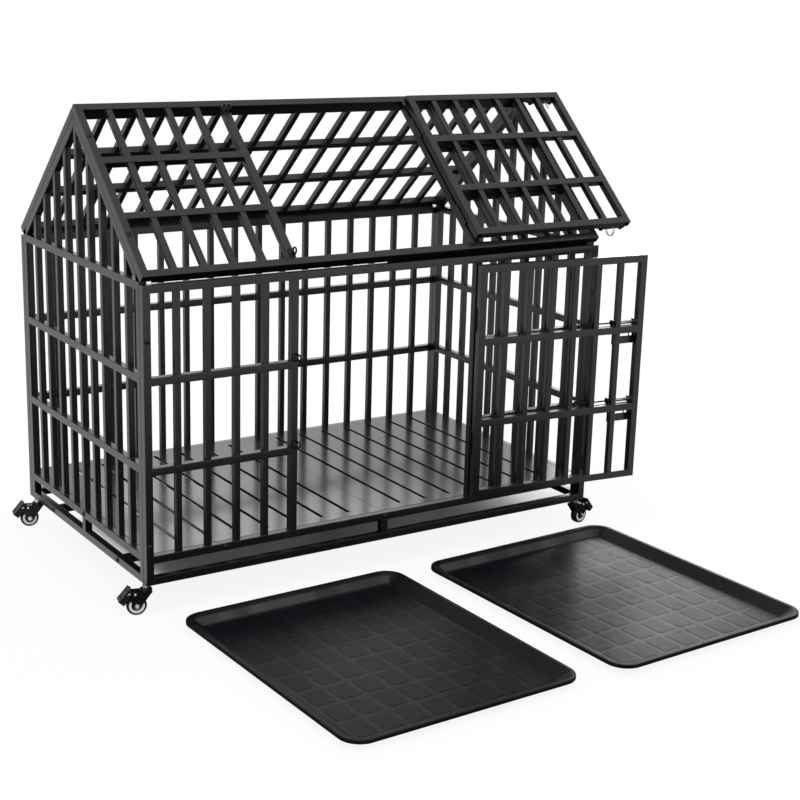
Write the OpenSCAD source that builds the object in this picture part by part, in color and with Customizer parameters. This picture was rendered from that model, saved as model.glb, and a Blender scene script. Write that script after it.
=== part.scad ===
// Heavy duty gabled dog crate. Welded square tube grilles stand on four swivel casters, with a
// swinging front door, a folding roof hatch, slide bolts, a slotted floor and two lift-out trays.
// X runs along the front, Y from front to back, Z up. The origin is on the ground, under the
// middle of the crate. The door and the hatch stand open and the trays lie out in front.

/* [Crate] */
// Length of the crate along its front
crate_l = 1370; // [1300:5:1450]
// Width of the crate from front to back
crate_w = 793; // [740:1:850]
// Height of the walls, from the underside of the bottom rails to the eaves
wall_h = 750; // [700:1:800]
// How far the long walls end below the top of the end walls
wall_drop = 5.5; // [0:0.5:6]
// Pitch of the roof in degrees
roof_pitch = 42.4; // [40:0.1:44]
// Gap between a roof frame and what it sits on
roof_seat_gap = 0.3; // [0.2:0.1:0.8]

/* [Tube] */
// Side of the square frame tube
tube = 20; // [18:0.5:22]
// Side of the square infill bars
bar = 16; // [12:0.5:17]

/* [Grilles] */
// Rails between the bottom and the top of every grille
mid_rails = 2; // [1:1:3]
// Bars in each fixed section beside the door and beside the hatch
side_bars = 4; // [3:1:5]
// Bars in the door and in the hatch
leaf_bars = 6; // [5:1:7]
// Bars in the back wall and in the back of the roof
back_bars = 16; // [14:1:18]
// Bars in each end wall
end_bars = 9; // [8:1:10]

/* [Door and hatch] */
// Clear width between the jambs, and between the rafters beside the hatch
opening_w = 536; // [500:1:560]
// Gap round the door and round the hatch
leaf_gap = 4; // [3:0.5:6]
// Gap above and below the door
door_gap_v = 7; // [5:0.5:9]
// Angle at which the open door stands, from closed
door_open = 173.6; // [90:0.1:178]
// Angle at which the open hatch lies, from closed
hatch_open = 180; // [90:0.5:180]

/* [Hinges] */
// Radius of the hinge barrel
barrel_r = 4; // [3.5:0.1:4.5]
// Radius of the hinge pin
hinge_pin_r = 2; // [1.5:0.1:2.4]
// Length of one hinge
hinge_l = 65; // [50:1:80]
// Width of a hinge leaf
leaf_w = 16; // [12:0.5:17]
// Thickness of a hinge leaf
leaf_t = 2; // [1.5:0.1:2.5]
// Height of the lower door hinge above the underside of the bottom rails
door_hinge_lo = 231; // [200:1:260]
// Height of the upper door hinge above the underside of the bottom rails
door_hinge_hi = 572; // [540:1:600]
// Distance of the lower hatch hinge up the slope from the eaves
hatch_hinge_lo = 110; // [90:1:130]
// Distance of the upper hatch hinge up the slope from the eaves
hatch_hinge_hi = 414; // [400:1:440]
// Clearance between pieces that turn or slide past each other
play = 0.3; // [0.2:0.05:0.5]
// Radial clearance of a pin in its bore
running = 0.05; // [0.03:0.01:0.09]

/* [Slide bolts] */
// Radius of a bolt rod
rod_r = 5.5; // [4.5:0.1:6]
// Length of the chamfer at a rod's tip
tip_l = 3; // [2:0.1:4]
// Depth of the chamfer at a rod's tip
tip_in = 1.5; // [1:0.1:2]
// Distance of a drawn rod's tip behind the free edge of its leaf
rod_back = 2; // [1:0.1:3]
// Length of a bolt rod
rod_l = 82; // [78:1:86]
// Radius of the thin tail behind a rod
tail_r = 2.2; // [1.8:0.1:2.6]
// Length of the tail of a door bolt
door_tail_l = 100; // [80:1:110]
// Length of the tail of a hatch bolt
hatch_tail_l = 18; // [12:1:19]
// Height of the rod's axis above the face that it slides along
rod_n = 10.5; // [10.2:0.1:12]
// Distance of the door rods above the middle of their rails
rod_rise = 15; // [12:0.5:18]
// Inner radius of the pull ring at the end of a door bolt's tail
pull_r = 6; // [5:0.1:7]
// Outer radius of the round ears that guide and catch the rods
ear_r = 9; // [8:0.1:9.5]
// Thickness of an ear
ear_t = 4; // [3:0.5:5]
// Distance of the outer guide ear from the free edge of its leaf
ear_in = 16; // [12:0.5:17]
// Gap between the two ears of a catch
catch_gap = 8; // [6:0.5:9]
// Radial clearance of a rod in its catch
catch_play = 0.5; // [0.4:0.05:0.8]
// Radius of the split rings on the hatch bolts
ring_r = 15.5; // [12:0.5:15.5]
// Radius of the wire of the split rings
ring_wire = 1; // [0.8:0.1:1.2]
// Distance of the split rings from the end of the rod
ring_in = 32; // [10:0.5:32]
// Width of a lock plate on the door
lock_w = 90; // [80:1:95]
// Height of a lock plate on the door
lock_h = 34; // [28:1:40]
// Thickness of a lock plate
lock_t = 2; // [1.5:0.1:3]
// Side of the square hole in a lock plate
lock_hole = 9; // [7:0.5:10]
// Length of the slot in a lock plate
lock_slot = 30; // [24:1:34]
// Strip of plate left round the slot and the hole
lock_edge = 3; // [2:0.5:4]

/* [Floor and trays] */
// Height of the slot that the trays slide through
slot_h = 35; // [33:0.5:40]
// Thickness of the floor sheet
sheet_t = 2; // [1.5:0.1:3]
// Gap round a floor sheet
sheet_gap = 0.8; // [0.4:0.1:1.5]
// Width of a floor slot
vent_w = 10; // [8:0.5:12]
// Floor slots in each floor sheet
vents = 7; // [5:1:7]
// Solid margin in front of and behind the floor slots
vent_margin = 30; // [25:1:40]
// Distance of the outer floor bearers from the middle of the crate
bearer_x = 471; // [440:1:490]
// Distance of the tray beams from the middle of the crate
beam_y = 218; // [200:1:240]
// Length of a tray along the front
tray_l = 628; // [610:1:640]
// Depth of a tray from front to back
tray_d = 772; // [750:1:772]
// Height of a tray
tray_h = 25; // [24:0.5:30]
// Thickness of the tray's plastic
tray_t = 2.5; // [2:0.1:3.5]
// Width of the flat lip round a tray
tray_lip = 10; // [8:0.5:12]
// Height of the edge that turns down from the lip
tray_skirt = 9; // [6:0.5:11]
// How far a tray wall leans out from its foot to its lip
tray_draft = 34; // [20:0.5:36]
// Corner radius of a tray's lip
tray_corner = 52; // [50:1:60]
// Raised pads in each row and each column of a tray
pads = 8; // [6:1:10]
// Gap between two raised pads
pad_gap = 11; // [8:0.5:14]
// Height of a raised pad
pad_h = 1.2; // [0.8:0.1:2]
// Middle of the left tray on the ground, along the front
tray_left_x = -316; // [-330:1:-314]
// Middle of the right tray on the ground, along the front
tray_right_x = 405; // [400:1:425]
// Clear ground between the crate and the middle of the left tray's far edge
tray_left_gap = 70; // [65:1:110]
// Clear ground between the crate and the middle of the right tray's far edge
tray_right_gap = 64; // [64:1:110]
// How far the left tray is turned on the ground
tray_left_turn = 1.5; // [0:0.1:2]
// How far the right tray is turned on the ground
tray_right_turn = 2.2; // [0:0.1:2.5]

/* [Casters] */
// Height of a caster from the ground to the underside of the bottom rails
caster_h = 82; // [80:0.5:90]
// Diameter of a wheel
wheel_d = 51; // [49:0.5:52]
// Width of a tyre
tyre_w = 21; // [18:0.5:22]
// Radial depth of a tyre
tyre_depth = 5.5; // [5:0.5:7]
// Radius of the tyre's rounded tread, seen across the wheel
tread_r = 13; // [12:0.5:16]
// Radial width of the hub's raised rim
hub_rim = 6.5; // [5:0.5:8]
// Thickness of the hub's web
hub_web = 6; // [4:0.5:8]
// Wall of the hub's boss round the axle
hub_wall = 4; // [3:0.5:5]
// Distance from the swivel axis to the axle
trail = 24; // [22:0.5:26]
// Direction in which the front left caster trails, in degrees from the X axis
front_left_turn = 165; // [0:1:359]
// Direction in which the front right caster trails
front_right_turn = 11; // [0:1:359]
// Direction in which the back left caster trails
back_left_turn = 168; // [0:1:359]
// Direction in which the back right caster trails
back_right_turn = 8; // [0:1:359]
// Radius of the swivel stem
stem_r = 5; // [4:0.1:5.5]
// Length of the stem inside the corner post
stem_in_post = 28; // [20:1:40]
// Radius of the collar and of the head on the stem
stem_collar_r = 8; // [7:0.1:9]
// Height of the collar above the swivel
stem_collar_h = 6; // [4:0.5:7]
// Height of the head under the swivel
stem_head_h = 3; // [2:0.5:4]
// Radius of the swivel's ball race
race_r = 14; // [12:0.5:15]
// Gap between the wheel and the fork's crown
crown_gap = 9; // [8:0.5:10]
// Reach of the crown beyond the race
crown_reach = 16; // [12:0.5:18]
// Radius of the wheel axle
axle_r = 3; // [2.5:0.1:3.5]
// Radius of the axle's nuts across their corners
nut_r = 5.5; // [5:0.1:6]
// Height of the axle's nuts
nut_h = 4; // [3:0.1:5]
// Thickness of the fork's sheet
fork_t = 2; // [1.5:0.1:2.5]
// Gap between the tyre and each fork cheek
fork_gap = 1.5; // [1:0.1:2]
// Radius of the fork's rounded end at the axle
fork_end_r = 9; // [8:0.1:9.5]
// Radius of the fork's nose at the pedal's pin
fork_nose_r = 4; // [3.5:0.1:4.2]
// Radius of the pedal's pin and of the rivet beside it
pedal_pin_r = 2; // [1.5:0.1:2.2]
// Radius of the heads of the pin and the rivet
rivet_head_r = 3.4; // [3:0.1:3.8]
// Height of the heads of the pin and the rivet
rivet_head_h = 1.6; // [1:0.1:2]
// Distance of the pedal's pin beyond the axle
pin_out = 18.3; // [17:0.1:19]
// Height of the pedal's pin above the axle
pin_up = 33.3; // [32.5:0.1:34]
// Distance of the rivet beyond the axle
rivet_out = 4; // [3:0.1:5]
// Height of the rivet above the axle
rivet_up = 31; // [30.5:0.1:32]
// Slope of the brake pedal in degrees
pedal_tilt = 50.4; // [46:0.1:54]
// Width of the brake pedal
pedal_w = 34; // [30:0.5:36]
// Length of the brake pedal above its pin
pedal_up = 10.4; // [9:0.1:11]
// Length of the brake pedal below its pin
pedal_down = 31.2; // [28:0.1:33]
// Thickness of the brake pedal
pedal_t = 3; // [2.5:0.1:3.5]
// Gap between the brake shoe and the tyre
shoe_gap = 0.6; // [0.5:0.1:1]
// Thickness of the brake shoe
shoe_t = 5; // [4:0.5:5]

/* [Fasteners] */
// Radius of the domed bolt heads
head_r = 6; // [5:0.1:7]
// Height of the domed bolt heads
head_h = 3; // [2:0.1:4]
// Narrowing of a domed head from its foot to its top
head_dome = 1.5; // [1:0.1:2]
// Height of the lower corner bolts above the underside of the bottom rails
wall_bolt_lo = 100; // [90:1:200]
// Height of the upper corner bolts above the underside of the bottom rails
wall_bolt_hi = 611; // [560:1:660]
// Distance of the lower roof bolts up the slope from the eaves
roof_bolt_lo = 127; // [100:1:160]
// Distance of the upper roof bolts up the slope from the eaves
roof_bolt_hi = 434; // [400:1:450]

/* [Hidden] */
$fn = 40;

zinc = [0.7, 0.69, 0.67];
fork_grey = [0.08, 0.08, 0.09];
steel = [0.62, 0.62, 0.64];
rubber = [0.05, 0.05, 0.055];
cream = [0.72, 0.7, 0.66];
lever = [0.2, 0.2, 0.21];

// Half sizes of the crate, and the levels in a wall
half_l = crate_l / 2;
half_w = crate_w / 2;
floor_rail_v = tube + slot_h;
deck_v = floor_rail_v + tube;
deck_z = caster_h + deck_v;
long_wall_h = wall_h - wall_drop;

// Floor slots, spread evenly from the seam to the end wall
vent_pitch = (half_l - tube) / (vents + 1.2);

// Distance between two raised pads along a tray's length and its depth
pad_pitch_l = (tray_l - 2 * (tray_lip + tray_draft + tray_t)) / pads;
pad_pitch_d = (tray_d - 2 * (tray_lip + tray_draft + tray_t)) / pads;

// Roof: level of its outer corner at the eaves, lengths of its two slopes
eave_v = wall_h + roof_seat_gap + tube * cos(roof_pitch);
slope_l = half_w / cos(roof_pitch);
slope_back_l = slope_l - tube / sin(2 * roof_pitch) - roof_seat_gap;

// Fixed sections beside the door and the hatch
jamb_x = (opening_w + tube) / 2;
section_w = half_l - tube - opening_w / 2 - tube;

// Door and hatch leaves, in the plane of the wall or of the roof
door_w = opening_w - 2 * leaf_gap;
door_lo = deck_v + door_gap_v;
door_hi = wall_h - tube - door_gap_v;
hatch_lo = tube + leaf_gap;
hatch_hi = slope_l - tube - leaf_gap;
hinge_x = (opening_w - leaf_gap) / 2;
hinge_n = barrel_r + play;

// Slide bolts: where the rods lie on the leaves, and how far they are drawn back at rest
free_x = -door_w / 2;
rod_tip_x = free_x + rod_back;
door_rod_v = [for (i = [1, mid_rails]) rail_v(i, deck_v, wall_h) + rod_rise];
hatch_rod_v = [hatch_lo + tube / 2, hatch_hi - tube / 2];
tail_x = rod_tip_x + rod_l;
guide_x = [free_x + ear_in, tail_x + 2 * play + ear_t / 2];
ring_x = tail_x - ring_in;

// Casters: stem places, wheel sizes and levels
stem_x = half_l - tube / 2;
stem_y = half_w - 1.5 * tube;
wheel_r = wheel_d / 2;
hub_r = wheel_r - tyre_depth;
cheek_y = tyre_w / 2 + fork_gap;
crown_z = wheel_d + crown_gap;
pin_x = trail + pin_out;
pin_z = wheel_r + pin_up;
knuckle_r = fork_nose_r + play;
knuckle_w = 2 * (cheek_y - play);

// Middle of the i-th rail, evenly spaced between the rails whose top edges are at lo and hi
function rail_v(i, lo, hi) = lo - tube / 2 + i * (hi - lo) / (mid_rails + 1);

// Underside of the roof over the distance y from the middle of the crate, less the seat gap
function gable_v(y) = eave_v - (tube + roof_seat_gap) / cos(roof_pitch)
    + (half_w - abs(y)) * tan(roof_pitch);

// Places: a flat panel is drawn as X, height, outward and set on its side of the crate
module on_front() translate([0, -half_w, caster_h]) rotate([90, 0, 0]) children();
module on_back() rotate([0, 0, 180]) on_front() children();
module on_left() translate([-half_l, 0, caster_h]) rotate([90, 0, -90]) children();
module on_right() translate([half_l, 0, caster_h]) rotate([90, 0, 90]) children();
module on_roof_front()
    translate([0, -half_w, caster_h + eave_v]) rotate([roof_pitch, 0, 0]) children();
module on_roof_back() rotate([0, 0, 180]) on_roof_front() children();

// Opens a leaf about the hinge line of its panel
module swung(angle)
    translate([hinge_x, 0, hinge_n]) rotate([0, angle, 0]) translate([-hinge_x, 0, -hinge_n])
        children();
module on_door() on_front() swung(door_open) children();
module on_hatch() on_roof_front() swung(hatch_open) children();

// A flat outline as thick as the frame tube, with its outer face at zero
module tube_frame() translate([0, 0, -tube]) linear_extrude(tube) children();
module bar_frame() translate([0, 0, -(tube + bar) / 2]) linear_extrude(bar) children();

// Upright bars, evenly spaced between framing tubes a clear width apart
module bars(clear_w, h, count) {
    pitch = (clear_w + tube) / (count + 1);
    for (k = [1:count]) translate([k * pitch - (tube + bar) / 2, 0]) square([bar, h]);
}

// Bars and rails that fill an opening: rails lists the middles of the rails
module grille(clear_w, h, count, rails) {
    bar_frame() bars(clear_w, h, count);
    tube_frame() for (v = rails) translate([0, v - tube / 2]) square([clear_w, tube]);
}

// Border of one tube's width round a w by h rectangle
module border(w, h) difference() {
    square([w, h]);
    translate([tube, tube]) square([w - 2 * tube, h - 2 * tube]);
}

// Bottom rail, floor rail, top rail and outer uprights of a long wall
module wall_outline() {
    for (s = [-1, 1]) translate([s * (half_l - tube / 2) - tube / 2, 0]) square([tube, long_wall_h]);
    for (v = [0, floor_rail_v, long_wall_h - tube])
        translate([-half_l, v]) square([crate_l, tube]);
    translate([-tube / 2, 0]) square([tube, deck_v]);
}

module front_frame() color([0.13, 0.13, 0.14]) on_front() tube_frame() {
    wall_outline();
    for (s = [-1, 1]) translate([s * jamb_x - tube / 2, deck_v])
        square([tube, long_wall_h - tube - deck_v]);
}

// Fixed grille beside the door, starting at x
module front_grille(x) on_front() translate([x, deck_v, 0])
    grille(section_w, long_wall_h - tube - deck_v, side_bars,
        [for (i = [1:mid_rails]) rail_v(i, deck_v, long_wall_h) - deck_v]);

module front_grille_left() color([0.12, 0.12, 0.13]) front_grille(tube - half_l);
module front_grille_right() color([0.12, 0.12, 0.13]) front_grille(jamb_x + tube / 2);

module back_panel() color([0.13, 0.13, 0.14]) on_back() {
    tube_frame() wall_outline();
    translate([tube - half_l, deck_v, 0])
        grille(crate_l - 2 * tube, long_wall_h - tube - deck_v, back_bars,
            [for (i = [1:mid_rails]) rail_v(i, deck_v, long_wall_h) - deck_v]);
}

// Outline of an end wall between the front and the back, up to the underside of the roof
module gable_outline() {
    y = half_w - tube;
    polygon([[-y, 0], [y, 0], [y, gable_v(y)], [0, gable_v(0)], [-y, gable_v(y)]]);
}

// End wall: posts, rails, gable rafters and bars that run up into the gable
module end_panel() {
    y = half_w - tube;
    drop = tube / cos(roof_pitch);
    foot = half_w - (wall_h + drop - gable_v(half_w)) / tan(roof_pitch);
    clear_w = 2 * (y - tube);
    tube_frame() {
        intersection() {
            gable_outline();
            for (s = [-1, 1]) translate([s * (y - tube / 2) - tube / 2, 0])
                square([tube, 2 * wall_h]);
        }
        for (v = [0, floor_rail_v, wall_h - tube]) translate([-y, v]) square([2 * y, tube]);
        for (i = [1:mid_rails]) translate([-y, rail_v(i, deck_v, wall_h) - tube / 2])
            square([2 * y, tube]);
        translate([-tube / 2, 0]) square([tube, deck_v]);
        difference() {
            gable_outline();
            translate([-half_w, 0]) square([crate_w, wall_h - tube / 2]);
            polygon([[-foot, wall_h], [foot, wall_h], [0, gable_v(0) - drop]]);
        }
    }
    bar_frame() intersection() {
        gable_outline();
        translate([-clear_w / 2, deck_v]) bars(clear_w, 2 * wall_h, end_bars);
    }
}

// Bores up into the corner posts for the caster stems
module stem_bores(s) for (t = [-1, 1])
    translate([s * stem_x, t * stem_y, caster_h - 1]) cylinder(r = stem_r, h = stem_in_post + 1);

module left_end_panel() color([0.15, 0.15, 0.16]) difference() {
    on_left() end_panel();
    stem_bores(-1);
}

module right_end_panel() color([0.15, 0.15, 0.16]) difference() {
    on_right() end_panel();
    stem_bores(1);
}

module roof_front_frame() color([0.16, 0.16, 0.17]) on_roof_front() tube_frame() {
    translate([-half_l, 0]) border(crate_l, slope_l);
    for (s = [-1, 1]) translate([s * jamb_x - tube / 2, 0]) square([tube, slope_l]);
}

// Fixed grille beside the hatch, starting at x
module roof_grille(x) on_roof_front() translate([x, tube, 0])
    grille(section_w, slope_l - 2 * tube, side_bars,
        [for (i = [1:mid_rails]) rail_v(i, tube, slope_l) - tube]);

module roof_front_grille_left() color([0.15, 0.15, 0.16]) roof_grille(tube - half_l);
module roof_front_grille_right() color([0.15, 0.15, 0.16]) roof_grille(jamb_x + tube / 2);

module roof_back_panel() color([0.16, 0.16, 0.17]) on_roof_back() {
    tube_frame() translate([-half_l, 0]) border(crate_l, slope_back_l);
    translate([tube - half_l, tube, 0])
        grille(crate_l - 2 * tube, slope_back_l - 2 * tube, back_bars,
            [for (i = [1:mid_rails]) rail_v(i, tube, slope_back_l) - tube]);
}

// One half of the slotted floor: the left half, from the end wall to the middle seam
module floor_half() {
    l = half_l - tube - sheet_gap;
    d = crate_w - 2 * (tube + sheet_gap);
    translate([0, 0, deck_z - sheet_t]) linear_extrude(sheet_t) difference() {
        translate([-l, -d / 2]) square([l - sheet_gap / 2, d]);
        for (k = [1:vents]) translate([-k * vent_pitch - vent_w / 2, vent_margin - d / 2])
            square([vent_w, d - 2 * vent_margin]);
    }
}

module floor_panel_left() color([0.34, 0.34, 0.35]) floor_half();
module floor_panel_right() color([0.34, 0.34, 0.35]) mirror([1, 0, 0]) floor_half();

// Tubes across the crate that carry the floor, between the front and back floor rails
module floor_bearers() color([0.11, 0.11, 0.12])
    for (x = [-bearer_x, 0, bearer_x])
        translate([x - tube / 2, tube - half_w, deck_z - tube])
            cube([tube, crate_w - 2 * tube, tube - sheet_t]);

// Tubes along the crate that carry the trays, between the bottom rails of the end walls
module tray_beams() color([0.11, 0.11, 0.12])
    for (s = [-1, 1]) translate([tube - half_l, s * beam_y - tube / 2, caster_h])
        cube([crate_l - 2 * tube, tube, tube]);

// Round ear across X at height v on a face, with a foot on the face and a hole for a rod
module ear(x, v, foot_v, hole_r) difference() {
    union() {
        translate([x - ear_t / 2, v, rod_n]) rotate([0, 90, 0]) cylinder(r = ear_r, h = ear_t);
        translate([x - ear_t / 2, min(v, foot_v) - ear_r, 0])
            cube([ear_t, abs(v - foot_v) + 2 * ear_r, rod_n - (v == foot_v ? 0 : 4)]);
        if (v != foot_v) translate([x - ear_t / 2, v - ear_r, 0]) cube([ear_t, 2 * ear_r, rod_n]);
    }
    translate([x - ear_t, v, rod_n]) rotate([0, 90, 0]) cylinder(r = hole_r, h = 2 * ear_t);
}

// Pair of ears on the post beside the free edge, which the thrown rod passes through
module catch_ears(v) for (s = [-1, 1])
    ear(-jamb_x + s * (catch_gap + ear_t) / 2, v, v, rod_r + catch_play);

module door_catches() color([0.1, 0.1, 0.11]) on_front() for (v = door_rod_v) catch_ears(v);
module hatch_catches() color([0.1, 0.1, 0.11]) on_roof_front()
    for (v = hatch_rod_v) catch_ears(v);

// Guide ears on the leaf: one for the rod on the free upright, one for its tail on the rail
module guide_ears(v, rail) {
    ear(guide_x[0], v, v, rod_r + running);
    ear(guide_x[1], v, rail, tail_r + running);
}

// Barrel pieces of a hinge: part 0 and 2 are fixed, part 1 swings
function third(i) = (i - 1.5) * hinge_l / 3;
module barrel(v, i) translate([hinge_x, v + third(i) + play / 2, hinge_n]) rotate([-90, 0, 0])
    difference() {
        cylinder(r = barrel_r, h = hinge_l / 3 - play);
        translate([0, 0, -1]) cylinder(r = hinge_pin_r + (i == 1 ? running : 0), h = hinge_l);
    }

// Leaf of a hinge on one side of the pin, with tabs to its own barrel pieces
module hinge_leaf(v, side, parts) {
    inner = barrel_r + 0.5;
    difference() {
        union() {
            translate([hinge_x + (side > 0 ? inner : -inner - leaf_w), v - hinge_l / 2, 0])
                cube([leaf_w, hinge_l, leaf_t]);
            for (i = parts)
                translate([hinge_x - (side > 0 ? 0 : inner), v + third(i) + play / 2, play])
                    cube([inner, hinge_l / 3 - play, leaf_t - play]);
        }
        translate([hinge_x, v - hinge_l, hinge_n]) rotate([-90, 0, 0])
            cylinder(r = hinge_pin_r + running, h = 2 * hinge_l);
    }
    for (i = parts) barrel(v, i);
}

module door_hinge_leaves() color([0.12, 0.12, 0.13]) on_front()
    for (v = [door_hinge_lo, door_hinge_hi]) hinge_leaf(v, 1, [0, 2]);
module hatch_hinge_leaves() color([0.12, 0.12, 0.13]) on_roof_front()
    for (v = [hatch_hinge_lo, hatch_hinge_hi]) hinge_leaf(v, 1, [0, 2]);
module door_hinge_knuckles() color([0.14, 0.14, 0.15]) on_door()
    for (v = [door_hinge_lo, door_hinge_hi]) hinge_leaf(v, -1, [1]);
module hatch_hinge_knuckles() color([0.14, 0.14, 0.15]) on_hatch()
    for (v = [hatch_hinge_lo, hatch_hinge_hi]) hinge_leaf(v, -1, [1]);

module hinge_pin(v) translate([hinge_x, v - hinge_l / 2 + play, hinge_n]) rotate([-90, 0, 0])
    cylinder(r = hinge_pin_r, h = hinge_l - 2 * play);
module hinge_pins() color([0.55, 0.55, 0.56]) {
    on_front() for (v = [door_hinge_lo, door_hinge_hi]) hinge_pin(v);
    on_roof_front() for (v = [hatch_hinge_lo, hatch_hinge_hi]) hinge_pin(v);
}

// Domed bolt head on an outer face
module head(x, v) translate([x, v, 0])
    cylinder(r1 = head_r, r2 = head_r - head_dome, h = head_h);

module panel_bolts() color([0.1, 0.1, 0.11]) {
    corner_x = half_l - tube / 2;
    on_front() for (x = [-bearer_x, 0, bearer_x]) head(x, deck_v - tube / 2);
    on_front() for (s = [-1, 1], v = [wall_bolt_lo, wall_bolt_hi]) head(s * corner_x, v);
    on_back() for (s = [-1, 1], v = [wall_bolt_lo, wall_bolt_hi]) head(s * corner_x, v);
    on_roof_front() for (s = [-1, 1], v = [roof_bolt_lo, roof_bolt_hi]) head(s * corner_x, v);
    on_roof_back() for (s = [-1, 1], v = [roof_bolt_lo, roof_bolt_hi]) head(s * corner_x, v);
    on_left() for (y = [-beam_y, beam_y]) head(y, tube / 2);
    on_right() for (y = [-beam_y, beam_y]) head(y, tube / 2);
    on_left() head(0, deck_v - tube / 2);
    on_right() head(0, deck_v - tube / 2);
}

// Framed grille leaf between two heights, as wide as the door
module grille_leaf(lo, hi, rails) translate([-door_w / 2, lo, 0]) {
    tube_frame() border(door_w, hi - lo);
    translate([tube, tube, 0])
        grille(door_w - 2 * tube, hi - lo - 2 * tube, leaf_bars, [for (v = rails) v - lo - tube]);
}

module door() color([0.12, 0.12, 0.13]) on_door()
    grille_leaf(door_lo, door_hi, [for (i = [1:mid_rails]) rail_v(i, deck_v, wall_h)]);
module hatch() color([0.15, 0.15, 0.16]) on_hatch()
    grille_leaf(hatch_lo, hatch_hi, [for (i = [1:mid_rails]) rail_v(i, tube, slope_l)]);

// Plates under the door's rails, with a square lock hole and a slot beside it
module lock_plate(rail) translate([free_x + play, rail - tube / 2 - lock_h, 0])
    linear_extrude(lock_t) difference() {
        square([lock_w, lock_h]);
        translate([tube + lock_edge, lock_h - lock_edge - lock_hole]) {
            square(lock_hole);
            translate([lock_hole + lock_edge, 0]) square([lock_slot, lock_hole]);
        }
    }
module door_lock_plates() color([0.12, 0.12, 0.13]) on_door()
    for (v = door_rod_v) lock_plate(v - rod_rise);

module door_bolt_guides() color([0.1, 0.1, 0.11]) on_door()
    for (v = door_rod_v) guide_ears(v, v - rod_rise);
module hatch_bolt_guides() color([0.1, 0.1, 0.11]) on_hatch()
    for (v = hatch_rod_v) guide_ears(v, v);

// Slide bolt: a rod with a chamfered tip and a thin tail through the inner guide ear
module slide_bolt(v, tail_l) translate([rod_tip_x, v, rod_n]) rotate([0, 90, 0]) {
    cylinder(r1 = rod_r - tip_in, r2 = rod_r, h = tip_l);
    translate([0, 0, tip_l]) cylinder(r = rod_r, h = rod_l - tip_l);
    cylinder(r = tail_r, h = rod_l + tail_l);
}

// Pull ring at the end of a door bolt's tail
module pull_ring(v) translate([tail_x + door_tail_l + pull_r, v, rod_n])
    rotate_extrude() translate([pull_r + tail_r, 0]) circle(r = tail_r);

module door_bolt_upper() color(zinc) on_door() {
    slide_bolt(door_rod_v[1], door_tail_l);
    pull_ring(door_rod_v[1]);
}
module door_bolt_lower() color(zinc) on_door() {
    slide_bolt(door_rod_v[0], door_tail_l);
    pull_ring(door_rod_v[0]);
}
module hatch_bolt_upper() color(zinc) on_hatch() slide_bolt(hatch_rod_v[1], hatch_tail_l);
module hatch_bolt_lower() color(zinc) on_hatch() slide_bolt(hatch_rod_v[0], hatch_tail_l);

// Point of a roof panel, given as X, distance up the slope and height above its outer face
function roof_point(x, v, n) = [x,
    -half_w + v * cos(roof_pitch) - n * sin(roof_pitch),
    caster_h + eave_v + v * sin(roof_pitch) + n * cos(roof_pitch)];

// The same point of the hatch, swung open about its hinge line
function hatch_point(x, v, n) = roof_point(
    hinge_x + (x - hinge_x) * cos(hatch_open) + (n - hinge_n) * sin(hatch_open), v,
    hinge_n - (x - hinge_x) * sin(hatch_open) + (n - hinge_n) * cos(hatch_open));

// Two split rings that hang on a hatch bolt's rod
module split_rings(v) translate(hatch_point(ring_x, v, rod_n)) for (s = [-1, 1])
    translate([s * 2 * ring_wire, 0, rod_r + ring_wire + play - ring_r])
        rotate([0, 90, 0]) rotate_extrude() translate([ring_r, 0]) circle(r = ring_wire);

module hatch_rings_upper() color([0.5, 0.5, 0.52]) split_rings(hatch_rod_v[1]);
module hatch_rings_lower() color([0.5, 0.5, 0.52]) split_rings(hatch_rod_v[0]);

// Rounded rectangle about the middle
module rounded(l, d, r) offset(r = r, $fn = 48) square([l - 2 * r, d - 2 * r], center = true);

// Outline of a tray, drawn in from the edge of its lip
module tray_outline(inset) rounded(tray_l - 2 * inset, tray_d - 2 * inset, tray_corner - inset);

// Solid with walls that lean out, from its foot to the lip, drawn in by inset
module tray_body(inset, lo, hi) hull() {
    translate([0, 0, lo]) linear_extrude(0.01) tray_outline(tray_lip + tray_draft + inset);
    translate([0, 0, hi - 0.01]) linear_extrude(0.01) tray_outline(tray_lip + inset);
}

// Shallow tray: a leaning wall, a flat lip with a turned-down edge and a padded floor
module tray(x, y, turn) translate([x, y, 0]) rotate([0, 0, turn]) {
    difference() {
        union() {
            tray_body(0, 0, tray_h);
            translate([0, 0, tray_h - tray_t]) linear_extrude(tray_t) tray_outline(0);
        }
        tray_body(tray_t, tray_t, tray_h + 0.5);
    }
    translate([0, 0, tray_h - tray_skirt]) linear_extrude(tray_skirt) difference() {
        tray_outline(0);
        tray_outline(tray_t);
    }
    translate([0, 0, tray_t]) linear_extrude(pad_h)
        for (i = [0:pads - 1], j = [0:pads - 1])
            translate([(i - (pads - 1) / 2) * pad_pitch_l, (j - (pads - 1) / 2) * pad_pitch_d])
                square([pad_pitch_l - pad_gap, pad_pitch_d - pad_gap], center = true);
}

module tray_left() color([0.09, 0.09, 0.1])
    tray(tray_left_x, -half_w - tray_left_gap - tray_d / 2, tray_left_turn);
module tray_right() color([0.09, 0.09, 0.1])
    tray(tray_right_x, -half_w - tray_right_gap - tray_d / 2, tray_right_turn);

// Casters: each trails along its own X from its stem
module at_stem(sx, sy, turn) translate([sx * stem_x, sy * stem_y, 0]) rotate([0, 0, turn])
    children();
module on_fl() at_stem(-1, -1, front_left_turn) children();
module on_fr() at_stem(1, -1, front_right_turn) children();
module on_bl() at_stem(-1, 1, back_left_turn) children();
module on_br() at_stem(1, 1, back_right_turn) children();
module on_axle() translate([trail, 0, wheel_r]) rotate([90, 0, 0]) children();

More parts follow.
